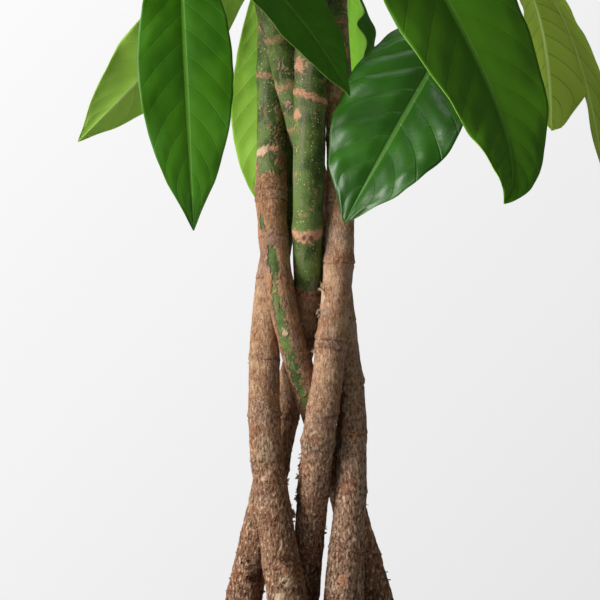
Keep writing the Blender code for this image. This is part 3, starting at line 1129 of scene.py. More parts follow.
    def add_flake(
        self, bm: bmesh.types.BMesh, draw: random.Random, height: float, angle: float, size: float
    ) -> None:
        """Adds one curled flake of bark that stands off the stem.

        Args:
            bm: The flakes so far.
            draw: The source of chance.
            height: The height in the plant, in metres.
            angle: The angle round the stem in degrees.
            size: Its mean length.
        """
        point, outward = self.route.surface(height, angle, -0.2 * MM)
        length = size * draw.uniform(0.7, 1.4)
        width = size * draw.uniform(0.35, 0.7)
        curl = draw.uniform(0.15, 0.55)
        first, first_face = len(bm.verts), len(bm.faces)
        made = bmesh.ops.create_grid(bm, x_segments=3, y_segments=2, size=0.5)["verts"]
        for vert in made:
            x, y = vert.co.x, vert.co.y
            rim = draw.uniform(-0.10, 0.10)
            lift = size * (curl * (x + 0.5) ** 2 + rim * 0.5)
            vert.co = Vector((x * length, y * width * (1 - 0.7 * abs(x)), lift))
        bmesh.ops.solidify(bm, geom=bm.faces[first_face:], thickness=self.FLAKE)
        turn = outward.to_track_quat("Z", "Y").to_matrix().to_4x4()
        spin = Matrix.Rotation(draw.uniform(0, math.tau), 4, "Z")
        tip = Matrix.Rotation(draw.uniform(-0.9, -0.1), 4, "Y")
        shell = bm.verts[first:]
        bmesh.ops.transform(bm, matrix=Matrix.Translation(point) @ turn @ spin @ tip, verts=shell)
        spot_layer = bm.verts.layers.float_color["spots"]
        bare = draw.uniform(0.0, 1.0) * smoothstep(0.28, 0.46, height)
        for vert in shell:
            vert[spot_layer] = (0.0, 0.5 * draw.random(), bare, 1.0)

    def flakes(self) -> bmesh.types.BMesh:
        """Returns the loose flakes: the named clusters and a thin scatter on old bark.

        Returns:
            The flakes, with their spots painted.
        """
        draw = random.Random(self.SEED + self.number)
        bm = bmesh.new()
        bm.verts.layers.float_color.new("spots")
        for group in self.look.crumbs:
            for _ in range(group.count):
                height = group.height + draw.gauss(0, 0.5) * group.scatter
                angle = group.angle + draw.gauss(0, 14)
                self.add_flake(bm, draw, height, angle, group.size * draw.uniform(0.6, 1.3))
        for _ in range(self.scattered):
            top = min(self.SCATTER_TO, self.look.green_above - 0.01)
            height = draw.uniform(self.SCATTER_FROM, top)
            if draw.random() < smoothstep(0.25, 0.50, height) * 0.8:
                continue
            self.add_flake(bm, draw, height, draw.uniform(-180, 180), draw.uniform(1.0, 2.4) * MM)
        return bm

    def build(self, finishes: Finishes) -> None:
        """Adds the stem and its flakes to the scene in place of the CAD solid.

        Args:
            finishes: The plant's materials.
        """
        coat = [finishes.bark[self.look.node]]
        bark = new_piece(self.look.node + "_bark", self.bark_mesh(), coat)
        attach(bark, "root")
        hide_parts(self.look.node)
        flakes = new_piece(self.look.node + "_flakes", self.flakes(), coat)
        flakes.data.shade_flat()
        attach(flakes, "root")
        for piece in (bark, flakes):
            LOG.info("%s: %d faces", piece.name, len(piece.data.polygons))


def rings_above(first: float, last: float, step: float, tint: float = 0.55) -> tuple[Ring, ...]:
    """Returns the leaf scars up a green shoot, which close up towards its tip.

    Args:
        first: The lowest scar's height.
        last: Where they stop.
        step: The gap above the first.
        tint: How much of their own colour they show.

    Returns:
        The rings.
    """
    rings, height, index = [], first, 0
    while height < last:
        rings.append(Ring(height, 0.45 * MM, 2.2 * MM, tint, 2.0 * MM * (-1) ** index))
        height += step * (1.0 - 0.5 * (height - first) / (last - first))
        index += 1
    return tuple(rings)


STEM_LOOKS = (
    StemLook(
        node="stem_left_back",
        green_above=0.4935,
        rings=(
            Ring(0.650, 0.5 * MM, 1.0 * MM, 0.4),
            Ring(0.6245, 0.7 * MM, 2.6 * MM, 1.0, 0.0, 3.6 * MM),
            Ring(0.5335, 0.5 * MM, 4.2 * MM, 1.0, 3.2 * MM, 0.0, 0.75),
            Ring(0.4925, 0.4 * MM, 1.6 * MM, 0.35),
            Ring(0.462, 0.4 * MM, 1.5 * MM, 0.2),
            Ring(0.402, 0.5 * MM, 1.5 * MM, 0.2),
            Ring(0.366, 0.5 * MM, 1.4 * MM, 0.15),
            Ring(0.318, 0.5 * MM, 1.6 * MM, 0.2),
            *rings_above(0.70, 0.92, 0.034),
        ),
        patches=(
            Patch(Mark.SCAR, 0.6460, 5.0 * MM, -42, 30),
            Patch(Mark.SCAR, 0.6125, 3.4 * MM, -60, 26),
            Patch(Mark.BARE, 0.6000, 1.4 * MM, -44, 5),
            Patch(Mark.BARE, 0.5880, 1.2 * MM, -50, 5),
            Patch(Mark.DARK, 0.5300, 1.6 * MM, -14, 9),
            Patch(Mark.DARK, 0.5292, 1.4 * MM, 12, 8),
            Patch(Mark.BARE, 0.330, 4.0 * MM, 8, 12),
            Patch(Mark.DARK, 0.293, 5.0 * MM, 22, 22),
        ),
        crumbs=(Crumbs(0.2925, 5, 10, 3.4 * MM), Crumbs(0.300, -30, 5, 2.4 * MM)),
    ),
    StemLook(
        node="stem_right_back",
        green_above=0.586,
        flecked=0.8,
        bark=BarkFinish(tan=(0.47, 0.245, 0.130), brown=(0.30, 0.145, 0.075)),
        rings=(
            Ring(0.562, 0.8 * MM, 2.6 * MM, 0.30),
            Ring(0.554, 0.6 * MM, 1.6 * MM, 0.25),
            Ring(0.529, 0.4 * MM, 1.6 * MM, 0.45),
            Ring(0.4955, 0.5 * MM, 1.4 * MM, 0.55),
            Ring(0.452, 0.3 * MM, 1.2 * MM, 0.2),
            Ring(0.388, 0.5 * MM, 1.5 * MM, 0.2),
            Ring(0.335, 0.6 * MM, 1.6 * MM, 0.2),
            Ring(0.300, 0.6 * MM, 1.6 * MM, 0.2),
            *rings_above(0.645, 1.04, 0.050),
        ),
        patches=(
            Patch(Mark.BARE, 0.5875, 3.6 * MM, -46, 34, 3000.0),
            Patch(Mark.SCAR, 0.5885, 2.0 * MM, 0, 46, 2000.0),
            Patch(Mark.SCAR, 0.6780, 2.0 * MM, -40, 20),
            Patch(Mark.GREEN, 0.5765, 8.0 * MM, -20, 50),
            Patch(Mark.GREEN, 0.5380, 4.6 * MM, -43, 14),
            Patch(Mark.GREEN, 0.5085, 12.5 * MM, -12, 21),
            Patch(Mark.GREEN, 0.4520, 46.0 * MM, -24, 24, 40.0),
            Patch(Mark.BARE, 0.4650, 2.6 * MM, -20, 12),
        ),
        crumbs=(Crumbs(0.5560, 86, 4, 2.6 * MM, 4 * MM), Crumbs(0.286, 84, 6, 2.4 * MM)),
    ),
    StemLook(
        node="stem_front_right",
        green_above=0.575,
        flecked=0.95,
        bark=BarkFinish(tan=(0.47, 0.300, 0.200), brown=(0.34, 0.205, 0.135), aged=(0.260, 0.145, 0.092)),
        rings=(
            Ring(0.668, 0.4 * MM, 2.0 * MM, 0.5),
            Ring(0.636, 0.4 * MM, 2.4 * MM, 0.6),
            Ring(0.606, 0.4 * MM, 2.0 * MM, 0.5),
            Ring(0.520, 0.4 * MM, 1.4 * MM, 0.3),
            Ring(0.470, 0.4 * MM, 1.4 * MM, 0.2),
            Ring(0.4265, 1.1 * MM, 3.0 * MM, 0.1),
            Ring(0.392, 0.6 * MM, 1.6 * MM, 0.2),
            Ring(0.352, 0.5 * MM, 1.6 * MM, 0.15),
            Ring(0.312, 0.6 * MM, 1.6 * MM, 0.2),
            *rings_above(0.705, 0.93, 0.036),
        ),
        patches=(
            Patch(Mark.ORANGE, 0.3905, 3.6 * MM, 2, 16),
            # Painted shadow: the near-black shade that the stem in front casts into the gap beside this
            # stem's left side.
            Patch(Mark.DARK, 0.4080, 30.0 * MM, -50, 19, 500.0),
            Patch(Mark.LICHEN, 0.3520, 8.0 * MM, 46, 26),
            Patch(Mark.LICHEN, 0.3640, 4.0 * MM, 38, 16),
            Patch(Mark.BARE, 0.3700, 3.0 * MM, -38, 12),
            Patch(Mark.SCAR, 0.2915, 5.0 * MM, -10, 14, 900.0),
        ),
        crumbs=(
            Crumbs(0.4265, 70, 8, 2.4 * MM),
            Crumbs(0.4300, 10, 5, 2.2 * MM),
            Crumbs(0.2915, -10, 4, 2.4 * MM, 3 * MM),
            Crumbs(0.3560, -40, 5, 2.0 * MM),
        ),
    ),
    StemLook(
        node="stem_middle",
        green_above=0.640,
        flecked=0.9,
        bark=BarkFinish(tan=(0.55, 0.340, 0.215), rust=(0.340, 0.110, 0.048)),
        rings=(
            Ring(0.596, 0.4 * MM, 1.6 * MM, 0.3),
            Ring(0.553, 0.4 * MM, 1.4 * MM, 0.25),
            Ring(0.5110, 1.0 * MM, 1.2 * MM, 0.45),
            Ring(0.4580, 0.9 * MM, 2.0 * MM, 0.10),
            Ring(0.4520, 0.5 * MM, 1.6 * MM, 0.10),
            Ring(0.4085, 0.6 * MM, 1.2 * MM, 0.15, 1.5 * MM),
            Ring(0.3860, 1.3 * MM, 1.8 * MM, 0.0, 1.5 * MM),
            Ring(0.352, 0.6 * MM, 1.6 * MM, 0.2),
            Ring(0.312, 0.6 * MM, 1.6 * MM, 0.2),
            *rings_above(0.68, 1.0, 0.044),
        ),
        patches=(
            Patch(Mark.BARE, 0.4880, 7.0 * MM, -72, 20),
            Patch(Mark.LICHEN, 0.3860, 2.2 * MM, -20, 60),
            # Painted shade: the dark gap between this stem's left side and the stem beside it.
            Patch(Mark.DARK, 0.3520, 12.0 * MM, -62, 14),
        ),
        crumbs=(
            Crumbs(0.4920, -80, 16, 3.4 * MM, 4 * MM),
            Crumbs(0.4760, -86, 14, 3.8 * MM, 3 * MM),
            Crumbs(0.4480, -86, 9, 3.4 * MM, 2 * MM),
            Crumbs(0.3700, -84, 20, 2.8 * MM, 9 * MM),
            Crumbs(0.3480, -80, 12, 3.0 * MM, 7 * MM),
            Crumbs(0.3250, 86, 4, 2.4 * MM, 3 * MM),
        ),
    ),
    StemLook(
        node="stem_front_left",
        green_above=0.515,
        rings=(
            Ring(0.4990, 0.4 * MM, 1.4 * MM, 0.2),
            Ring(0.4430, 0.5 * MM, 1.2 * MM, 0.15, 1.0 * MM),
            Ring(0.4045, 1.0 * MM, 1.8 * MM, 0.25),
            Ring(0.3740, 0.5 * MM, 1.6 * MM, 0.0),
            Ring(0.3400, 0.6 * MM, 1.6 * MM, 0.2),
            Ring(0.3020, 0.6 * MM, 1.6 * MM, 0.2),
            *rings_above(0.60, 1.06, 0.055),
        ),
        patches=(
            Patch(Mark.LICHEN, 0.3820, 9.0 * MM, 0, 30),
            Patch(Mark.SCAR, 0.3035, 6.5 * MM, 8, 14),
            Patch(Mark.DARK, 0.3080, 3.4 * MM, 12, 20),
            Patch(Mark.BARE, 0.2910, 3.2 * MM, 10, 15),
            Patch(Mark.BARE, 0.3620, 1.8 * MM, -20, 9),
            Patch(Mark.BARE, 0.2800, 5.0 * MM, -24, 12),
        ),
        crumbs=(
            Crumbs(0.4030, -76, 5, 2.2 * MM, 4 * MM),
            Crumbs(0.3600, 82, 14, 3.0 * MM, 8 * MM),
            Crumbs(0.3360, 82, 16, 3.4 * MM, 6 * MM),
            Crumbs(0.3060, 12, 7, 3.0 * MM, 3 * MM),
            Crumbs(0.2920, 12, 4, 2.8 * MM, 2 * MM),
        ),
    ),
)


# ---------------------------------------------------------------------------
# Leaves
# ---------------------------------------------------------------------------


class Tone(Enum):
    """How a leaflet's colour leans: (olive, bright, pale). Olive is the leaflet's own older colour; bright
    and pale are painted light, lightening a leaflet to stand in for light that falls on it or shines
    through it.
    """

    PLAIN = (0.0, 0.0, 0.0)
    # The next three lighten a leaflet as painted light, for light that falls on it or shines through it.
    HALF_LIT = (0.0, 0.8, 0.06)
    BACKLIT = (0.0, 0.9, 0.42)
    SUNLIT = (0.0, 1.0, 1.0)
    OLIVE = (0.85, 0.0, 0.0)
    # Painted light too: a slight olive tint, lightened to stand in for light falling on the leaflet.
    OLIVE_LIT = (0.15, 0.9, 0.12)


class Detail(Enum):
    """How many quads a leaflet has across and along."""

    FINE = (36, 84)
    PLAIN = (14, 28)


@dataclass(frozen=True)
class Leaflet:
    """One leaflet, from its knob to its tip.

    bow is the pull on its middle away from the straight line, face the way its upper side
    looks, widest the share of its length at which it is widest, fold the rise of its
    halves, quilt the bulge between its veins, wave the waviness of its margin and fullness
    how slim (over 1) or blunt (under 1) its outline is.
    """

    tip: Vector | Triple
    bow: Vector | Triple
    face: Vector | Triple
    width: float
    widest: float = 0.50
    fold: float = 0.16
    quilt: float = 0.7 * MM
    wave: float = 0.05
    fullness: float = 0.85
    tone: Tone = Tone.PLAIN
    detail: Detail = Detail.PLAIN
    glossy: bool = False

    STALK = 1.1 * MM
    POINT = 0.25 * MM
    THICKNESS = 0.45 * MM

    def section(self, knob: Vector, along: float) -> tuple[Vector, Vector, Vector]:
        """Returns the centre, side and normal at a share of the length.

        Args:
            knob: Where the leaflet starts.
            along: The share of its length.

        Returns:
            The centre, the side and the normal.
        """
        tip = Vector(self.tip)
        control = knob.lerp(tip, 0.5) + Vector(self.bow)
        centre, direction = bezier(knob, control, tip, along)
        side = direction.cross(Vector(self.face)).normalized()
        return centre, side, side.cross(direction)

    def half_width(self, along: float) -> float:
        """Returns the blade's half width at a share of the length.

        Args:
            along: The share of the length.

        Returns:
            The half width in metres.
        """
        if along <= 0.0:
            return self.STALK
        if along >= 1.0:
            return self.POINT
        turn = along ** (math.log(0.5) / math.log(self.widest))
        outline = math.sin(math.pi * turn) ** self.fullness
        drip = 1.0 - 0.22 * smoothstep(0.86, 0.97, along)
        least = self.STALK if along < 0.5 else self.POINT
        return max(least, 0.5 * self.width * outline * drip)

    def shape(self, across: float, along: float, half: float, phase: float) -> float:
        """Returns how far a place stands off the midrib's plane.

        Args:
            across: -1 at one margin, 0 on the midrib, 1 at the other margin.
            along: The share of the length.
            half: The half width there.
            phase: A shift that makes each leaflet's margin its own.

        Returns:
            The offset along the normal, in metres.
        """
        a = abs(across)
        lift = half * self.fold * (1.75 * a - 0.75 * a * a)
        vein = TOP_SIDE.veins.phase(across, along)
        bulge = abs(math.sin(math.pi * vein)) ** 0.7
        inner = smoothstep(0.03, 0.25, a) * smoothstep(1.0, 0.72, a) * smoothstep(0.0, 0.15, along)
        lift += self.quilt * bulge * inner * smoothstep(1.0, 0.8, along)
        pucker = noise.noise(Vector((across * 3.2, along * 19.0, phase * 40.0)))
        lift += 0.7 * self.quilt * pucker * smoothstep(0.30, 0.85, a) * smoothstep(0.05, 0.3, along)
        lift -= 0.35 * MM * bell(a, 0.055)
        side = 1.7 if across > 0 else 0.0
        slow = math.sin(math.tau * (3.4 * along + phase) + side)
        quick = math.sin(math.tau * (6.1 * along + 2.3 * phase) + side)
        ripple = slow + 0.6 * quick
        return lift + half * self.wave * ripple * a**3

    def mesh(self, name: str, knob: Vector, finishes: Finishes, draw: random.Random) -> bpy.types.Object:
        """Returns the leaflet as a thin two-sided blade, an object of its own for now.

        Args:
            name: The object's name.
            knob: Where the leaflet starts.
            finishes: The plant's materials.
            draw: The source of chance.

        Returns:
            The blade, with a live thickness.
        """
        across, length = self.detail.value
        bm = wrapped_grid(across, length)
        tone_layer = bm.verts.layers.float_color.new("tone")
        phase = draw.random()
        olive, bright, pale = self.tone.value
        tone = (olive, bright + 0.4 * draw.random(), pale, 1.0)
        sections = [self.section(knob, row / length) for row in range(length + 1)]
        halves = [self.half_width(row / length) for row in range(length + 1)]
        for vert in bm.verts:
            a = vert.co.x
            row = round((vert.co.y + 1) / 2 * length)
            centre, side, normal = sections[row]
            half = halves[row]
            lift = self.shape(a, row / length, half, phase)
            margin = 1.0 + 0.018 * noise.noise(Vector((a * 2.0, row / length * 22.0, phase * 50.0)))
            vert.co = centre + side * half * a * margin + normal * lift
            vert[tone_layer] = tone
        upper, under = finishes.blade
        blade = new_piece(name, bm, (finishes.glossy if self.glossy else upper, under))
        wall = blade.modifiers.new("thickness", "SOLIDIFY")
        wall.thickness = self.THICKNESS
        wall.offset = 0.0
        wall.material_offset = 1
        wall.material_offset_rim = 1
        return blade


def hanging(**shape: object) -> Leaflet:
    """Returns a finely meshed leaflet that hangs from a low leaf."""
    return Leaflet(detail=Detail.FINE, **shape)


@dataclass(frozen=True)
class Leaf:
    """One compound leaf: its CAD node, stem, height on it, knob and leaflets."""

    node: str
    stem: str
    height: float
    knob: Triple
    leaflets: tuple[Leaflet, ...]

    PETIOLE = 2.1 * MM
    SWELL = 1.65
    ARCH = 0.16
    KNOB = 5.0 * MM
    KNOB_END = (0.85, 0.95, 0.80, 0.35)
    KNOB_STEP = 1.3
    STEPS = 22
    STALK_SLOT = 2
    GLOSSY_SLOT = 3

    def petiole(self, route: StemRoute, finishes: Finishes) -> bpy.types.Object:
        """Returns the leaf's stalk, swollen at its foot and at the knob.

        Args:
            route: The route of the stem it grows from.
            finishes: The plant's materials.

        Returns:
            The stalk's curve.
        """
        knob = Vector(self.knob)
        centre, radius = route.at(self.height)
        outward = knob - centre
        outward.z = 0.0
        outward.normalize()
        start = centre + outward * (radius - 1.0 * MM)
        reach = (knob - start).length
        bend = start.lerp(knob, 0.5) + UP * self.ARCH * reach
        curve = bpy.data.curves.new(self.node + "_petiole", "CURVE")
        curve.dimensions = "3D"
        curve.bevel_depth = 1.0
        curve.bevel_resolution = 3
        curve.use_fill_caps = True
        spline = curve.splines.new("POLY")
        spline.points.add(self.STEPS + len(self.KNOB_END) - 1)
        for index, point in enumerate(spline.points):
            share = min(index / self.STEPS, 1.0)
            at, _ = bezier(start, bend, knob, share)
            swell = bell(share * reach, 7 * MM) + bell((1 - share) * reach, 5 * MM) * 0.6
            point.radius = self.PETIOLE * (1.0 + (self.SWELL - 1.0) * min(swell, 1.0))
            over = index - self.STEPS
            if over >= 0:
                at = knob + (knob - bend).normalized() * over * self.KNOB_STEP * MM
                point.radius = self.KNOB * self.KNOB_END[over]
            point.co = (*at, 1.0)
        curve.materials.append(finishes.petiole)
        stalk = bpy.data.objects.new(self.node + "_petiole", curve)
        bpy.context.scene.collection.objects.link(stalk)
        return stalk

    def build(self, route: StemRoute, finishes: Finishes, seed: int) -> None:
        """Adds the whole leaf to the scene as one piece, in place of the CAD solid.

        Args:
            route: The route of the stem it grows from.
            finishes: The plant's materials.
            seed: What the draws start from.
        """
        draw = random.Random(seed)
        knob = Vector(self.knob)
        bm = bmesh.new()
        for number, leaflet in enumerate(self.leaflets):
            first = len(bm.faces)
            join_mesh(bm, leaflet.mesh(f"{self.node}_{number}", knob, finishes, draw))
            bm.faces.ensure_lookup_table()
            if leaflet.glossy:
                for face in bm.faces[first:]:
                    face.material_index = face.material_index or self.GLOSSY_SLOT
        first = len(bm.faces)
        join_mesh(bm, self.petiole(route, finishes))
        bm.faces.ensure_lookup_table()
        for face in bm.faces[first:]:
            face.material_index = self.STALK_SLOT
        coats = (*finishes.blade, finishes.petiole, finishes.glossy)
        leaf = new_piece(self.node + "_foliage", bm, coats)
        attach(leaf, "root")
        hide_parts(self.node)
        LOG.info("%s: %d faces", leaf.name, len(leaf.data.polygons))


@dataclass(frozen=True)
class Fan:
    """A regular spread of leaflets round a knob, for the leaves of the crown.

    One side of the leaf hangs lower than the other by bank degrees, so that neighbouring
    leaves pass over and under each other. A leaflet that is turned by REAR degrees from the
    middle one is the shortest, and neighbours lean by TILT to opposite sides.
    """

    spread: float = 300.0
    bank: float = 8.0
    aspect: float = 3.25
    arch: float = 0.30

    REAR = 150.0
    TILT = 0.12

    def leaflet(
        self, knob: Vector, azimuth: float, length: float, droop: float, tilt: float = 0.0
    ) -> Leaflet:
        """Returns a leaflet that arches out at an azimuth and hangs to droop degrees.

        Args:
            knob: Where it starts.
            azimuth: The way it points, in degrees.
            length: Its length.
            droop: How far below level its tip hangs, in degrees.
            tilt: How far its face leans sideways.

        Returns:
            The leaflet.
        """
        return Leaflet(
            tip=knob + length * heading(azimuth, -droop),
            bow=UP * self.arch * length,
            face=UP + tilt * heading(azimuth + 90),
            width=length / self.aspect,
        )

    def leaflets(
        self, knob: Vector, azimuth: float, length: float, droop: float, count: int
    ) -> tuple[Leaflet, ...]:
        """Returns the whole spread, the outward leaflets longest.

        Args:
            knob: Where they start.
            azimuth: The way the middle one points, in degrees.
            length: The longest one's length.
            droop: How far below level its tip hangs, in degrees.
            count: How many.

        Returns:
            The leaflets, from one side to the other.
        """
        made = []
        for index in range(count):
            turn = (index - (count - 1) / 2) * self.spread / count
            share = abs(turn) / self.REAR
            hang = droop * (1.0 - 0.45 * share) + self.bank * math.sin(math.radians(turn))
            tilt = self.TILT * (-1) ** index
            reach = length * (1.0 - 0.30 * share**2)
            made.append(self.leaflet(knob, azimuth + turn, reach, hang, tilt))
        return tuple(made)

    def upward(self, knob: Triple, *rows: Triple) -> tuple[Leaflet, ...]:
        """Returns a low leaf's upper leaflets from azimuth, length and droop of each."""
        return tuple(self.leaflet(Vector(knob), *row) for row in rows)


class Foliage:
    """Every compound leaf: five low ones placed for themselves, and the crown."""

    FAN = Fan()

    # The knobs of the low leaves.
    FRONT_LEFT = (-0.081, -0.145, 0.728)
    LEFT = (-0.031, 0.075, 0.756)
    BACK = (0.040, 0.098, 0.778)
    RIGHT = (0.136, 0.022, 0.732)
    FRONT = (0.019, -0.270, 0.740)

    # Stem, height on it, azimuth and distance of the knob from the axis, the knob's height,
    # leaflet length, droop and number of leaflets.
    CROWN = (
        ("stem_front_right", 0.825, 203, 0.290, 0.825, 0.175, 30, 6),
        ("stem_right_back", 0.830, 150, 0.275, 0.850, 0.180, 30, 6),
        ("stem_front_left", 0.830, 100, 0.270, 0.915, 0.185, 23, 6),
        ("stem_front_left", 0.860, 55, 0.275, 0.885, 0.180, 28, 6),
        ("stem_middle", 0.840, 14, 0.300, 0.850, 0.185, 30, 6),
        ("stem_middle", 0.865, 321, 0.295, 0.825, 0.180, 33, 6),
        ("stem_left_back", 0.835, 281, 0.250, 0.915, 0.180, 25, 6),
        ("stem_front_right", 0.860, 237, 0.275, 0.890, 0.175, 25, 6),
        ("stem_front_right", 0.905, 217, 0.200, 1.005, 0.165, 31, 6),
        ("stem_right_back", 0.890, 182, 0.225, 0.960, 0.165, 25, 6),
        ("stem_right_back", 0.930, 121, 0.220, 1.020, 0.165, 25, 6),
        ("stem_front_left", 0.930, 81, 0.230, 1.000, 0.160, 28, 6),
        ("stem_middle", 0.905, 35, 0.255, 0.965, 0.165, 22, 6),
        ("stem_middle", 0.940, 344, 0.225, 1.000, 0.165, 28, 6),
        ("stem_left_back", 0.890, 300, 0.205, 0.965, 0.160, 26, 5),
        ("stem_left_back", 0.925, 268, 0.165, 1.030, 0.145, 20, 5),
        ("stem_right_back", 0.990, 198, 0.130, 1.065, 0.145, 19, 5),
        ("stem_right_back", 1.035, 130, 0.150, 1.120, 0.140, 18, 5),
        ("stem_front_left", 1.010, 60, 0.155, 1.105, 0.145, 20, 5),
        ("stem_middle", 0.995, 335, 0.140, 1.085, 0.145, 22, 5),
        ("stem_front_left", 1.060, 265, 0.050, 1.160, 0.125, -8, 5),
    )

    def low(self) -> list[Leaf]:
        """Returns the five low leaves.

        Returns:
            The leaves, each with its hanging leaflets first.
        """
        up = self.FAN.upward
        front_left = (
            hanging(
                tip=(-0.070, -0.170, 0.527),
                bow=(0.001, -0.035, 0.010),
                face=(0.07, -1.0, 0.3),
                width=0.0575,
                widest=0.54,
                fold=0.07,
                quilt=0.5 * MM,
            ),
            hanging(
                tip=(0.027, -0.080, 0.619),
                bow=(0.018, 0.0, 0.010),
                face=(0.5, -0.8, 0.55),
                width=0.062,
                wave=0.02,
                tone=Tone.HALF_LIT,
            ),
            *up(self.FRONT_LEFT, (142, 0.165, 6), (190, 0.185, 4), (232, 0.19, 8), (318, 0.165, 0)),
        )
        left = (
            hanging(
                tip=(-0.171, 0.080, 0.603),
                bow=(0.004, 0.0, -0.006),
                face=(-0.25, 0.9, 0.45),
                width=0.062,
                tone=Tone.BACKLIT,
            ),
            hanging(
                tip=(-0.028, 0.115, 0.544),
                bow=(0.0, 0.03, 0.0),
                face=(0.1, 0.95, 0.3),
                width=0.060,
                widest=0.60,
            ),
            *up(self.LEFT, (128, 0.17, -4), (215, 0.135, -14)),
        )
        back = (
            hanging(
                tip=(0.0344, 0.087, 0.640),
                bow=(-0.0114, 0.015, -0.002),
                face=(-0.87, -0.34, 0.21),
                width=0.054,
                widest=0.72,
                fold=0.02,
                wave=0.12,
                tone=Tone.SUNLIT,
            ),
            hanging(
                tip=(0.0451, 0.122, 0.656),
                bow=(-0.0145, 0.045, -0.002),
                face=(0.44, -0.3, 0.88),
                width=0.052,
                widest=0.58,
                fold=0.10,
                tone=Tone.HALF_LIT,
            ),
            *up(self.BACK, (98, 0.17, -2), (20, 0.15, -12)),
        )
        right = (
            hanging(
                tip=(0.024, -0.050, 0.537),
                bow=(0.001, -0.03, 0.004),
                face=(-0.35, -0.85, 0.4),
                width=0.097,
                widest=0.60,
                quilt=2.4 * MM,
                fullness=0.78,
                glossy=True,
            ),
            hanging(
                tip=(0.183, 0.088, 0.612),
                bow=(0.015, -0.008, 0.049),
                face=(0.53, 0.30, 0.28),
                width=0.067,
                widest=0.74,
                fold=0.28,
                fullness=0.515,
                tone=Tone.OLIVE,
            ),
            hanging(
                tip=(0.217, 0.049, 0.567),
                bow=(0.018, 0.0, 0.070),
                face=(1.0, 0.17, 0.2),
                width=0.046,
                widest=0.70,
                fold=0.13,
                tone=Tone.OLIVE,
            ),
            *up(self.RIGHT, (330, 0.19, 4), (286, 0.16, -6), (98, 0.16, -2)),
        )
        front = (
            hanging(
                tip=(0.100, -0.325, 0.535),
                bow=(0.067, -0.015, -0.073),
                face=(0.31, -0.68, -0.03),
                width=0.0745,
                widest=0.26,
                fold=0.17,
                fullness=0.835,
                tone=Tone.OLIVE_LIT,
            ),
            *up(self.FRONT, (268, 0.17, 6), (222, 0.17, 2), (2, 0.17, 0), (170, 0.12, -12)),
        )
        return [
            Leaf("leaf_low_front_left", "stem_front_right", 0.775, self.FRONT_LEFT, front_left),
            Leaf("leaf_low_left", "stem_right_back", 0.720, self.LEFT, left),
            Leaf("leaf_low_back", "stem_front_left", 0.735, self.BACK, back),
            Leaf("leaf_low_right", "stem_middle", 0.790, self.RIGHT, right),
            Leaf("leaf_low_front", "stem_left_back", 0.800, self.FRONT, front),
        ]

    def crown(self) -> list[Leaf]:
        """Returns the leaves of the crown, numbered from the lowest.

        Returns:
            The leaves.
        """
        leaves = []
        for number, row in enumerate(self.CROWN, start=1):
            stem, height, azimuth, radius, level, length, droop, count = row
            knob = radius * heading(azimuth) + UP * level
            leaflets = self.FAN.leaflets(knob, azimuth, length, droop, count)
            leaves.append(Leaf(f"leaf_crown_{number:02d}", stem, height, tuple(knob), leaflets))
        return leaves

    def build(self, routes: dict[str, StemRoute], finishes: Finishes) -> None:
        """Adds every leaf to the scene."""
        for seed, leaf in enumerate(self.low() + self.crown()):
            leaf.build(routes[leaf.stem], finishes, seed)


# ---------------------------------------------------------------------------
# Pot and soil
# ---------------------------------------------------------------------------


def turned(profile: Profile, sides: int) -> bmesh.types.BMesh:
    """Returns a solid turned about Z from a profile that starts and ends on the axis.

    Args:
        profile: The points' radii and heights.
        sides: How many steps make the turn.

    Returns:
        The closed solid.
    """
    bm = bmesh.new()
    verts = [bm.verts.new((radius, 0.0, height)) for radius, height in profile]
    for low, high in zip(verts, verts[1:]):
        bm.edges.new((low, high))
    line = bm.verts[:] + bm.edges[:]
    bmesh.ops.spin(
        bm, geom=line, axis=UP, cent=(0, 0, 0), angle=math.tau, steps=sides, use_merge=True
    )
    bmesh.ops.remove_doubles(bm, verts=bm.verts, dist=1e-6)
    bmesh.ops.recalc_face_normals(bm, faces=bm.faces)
    return bm


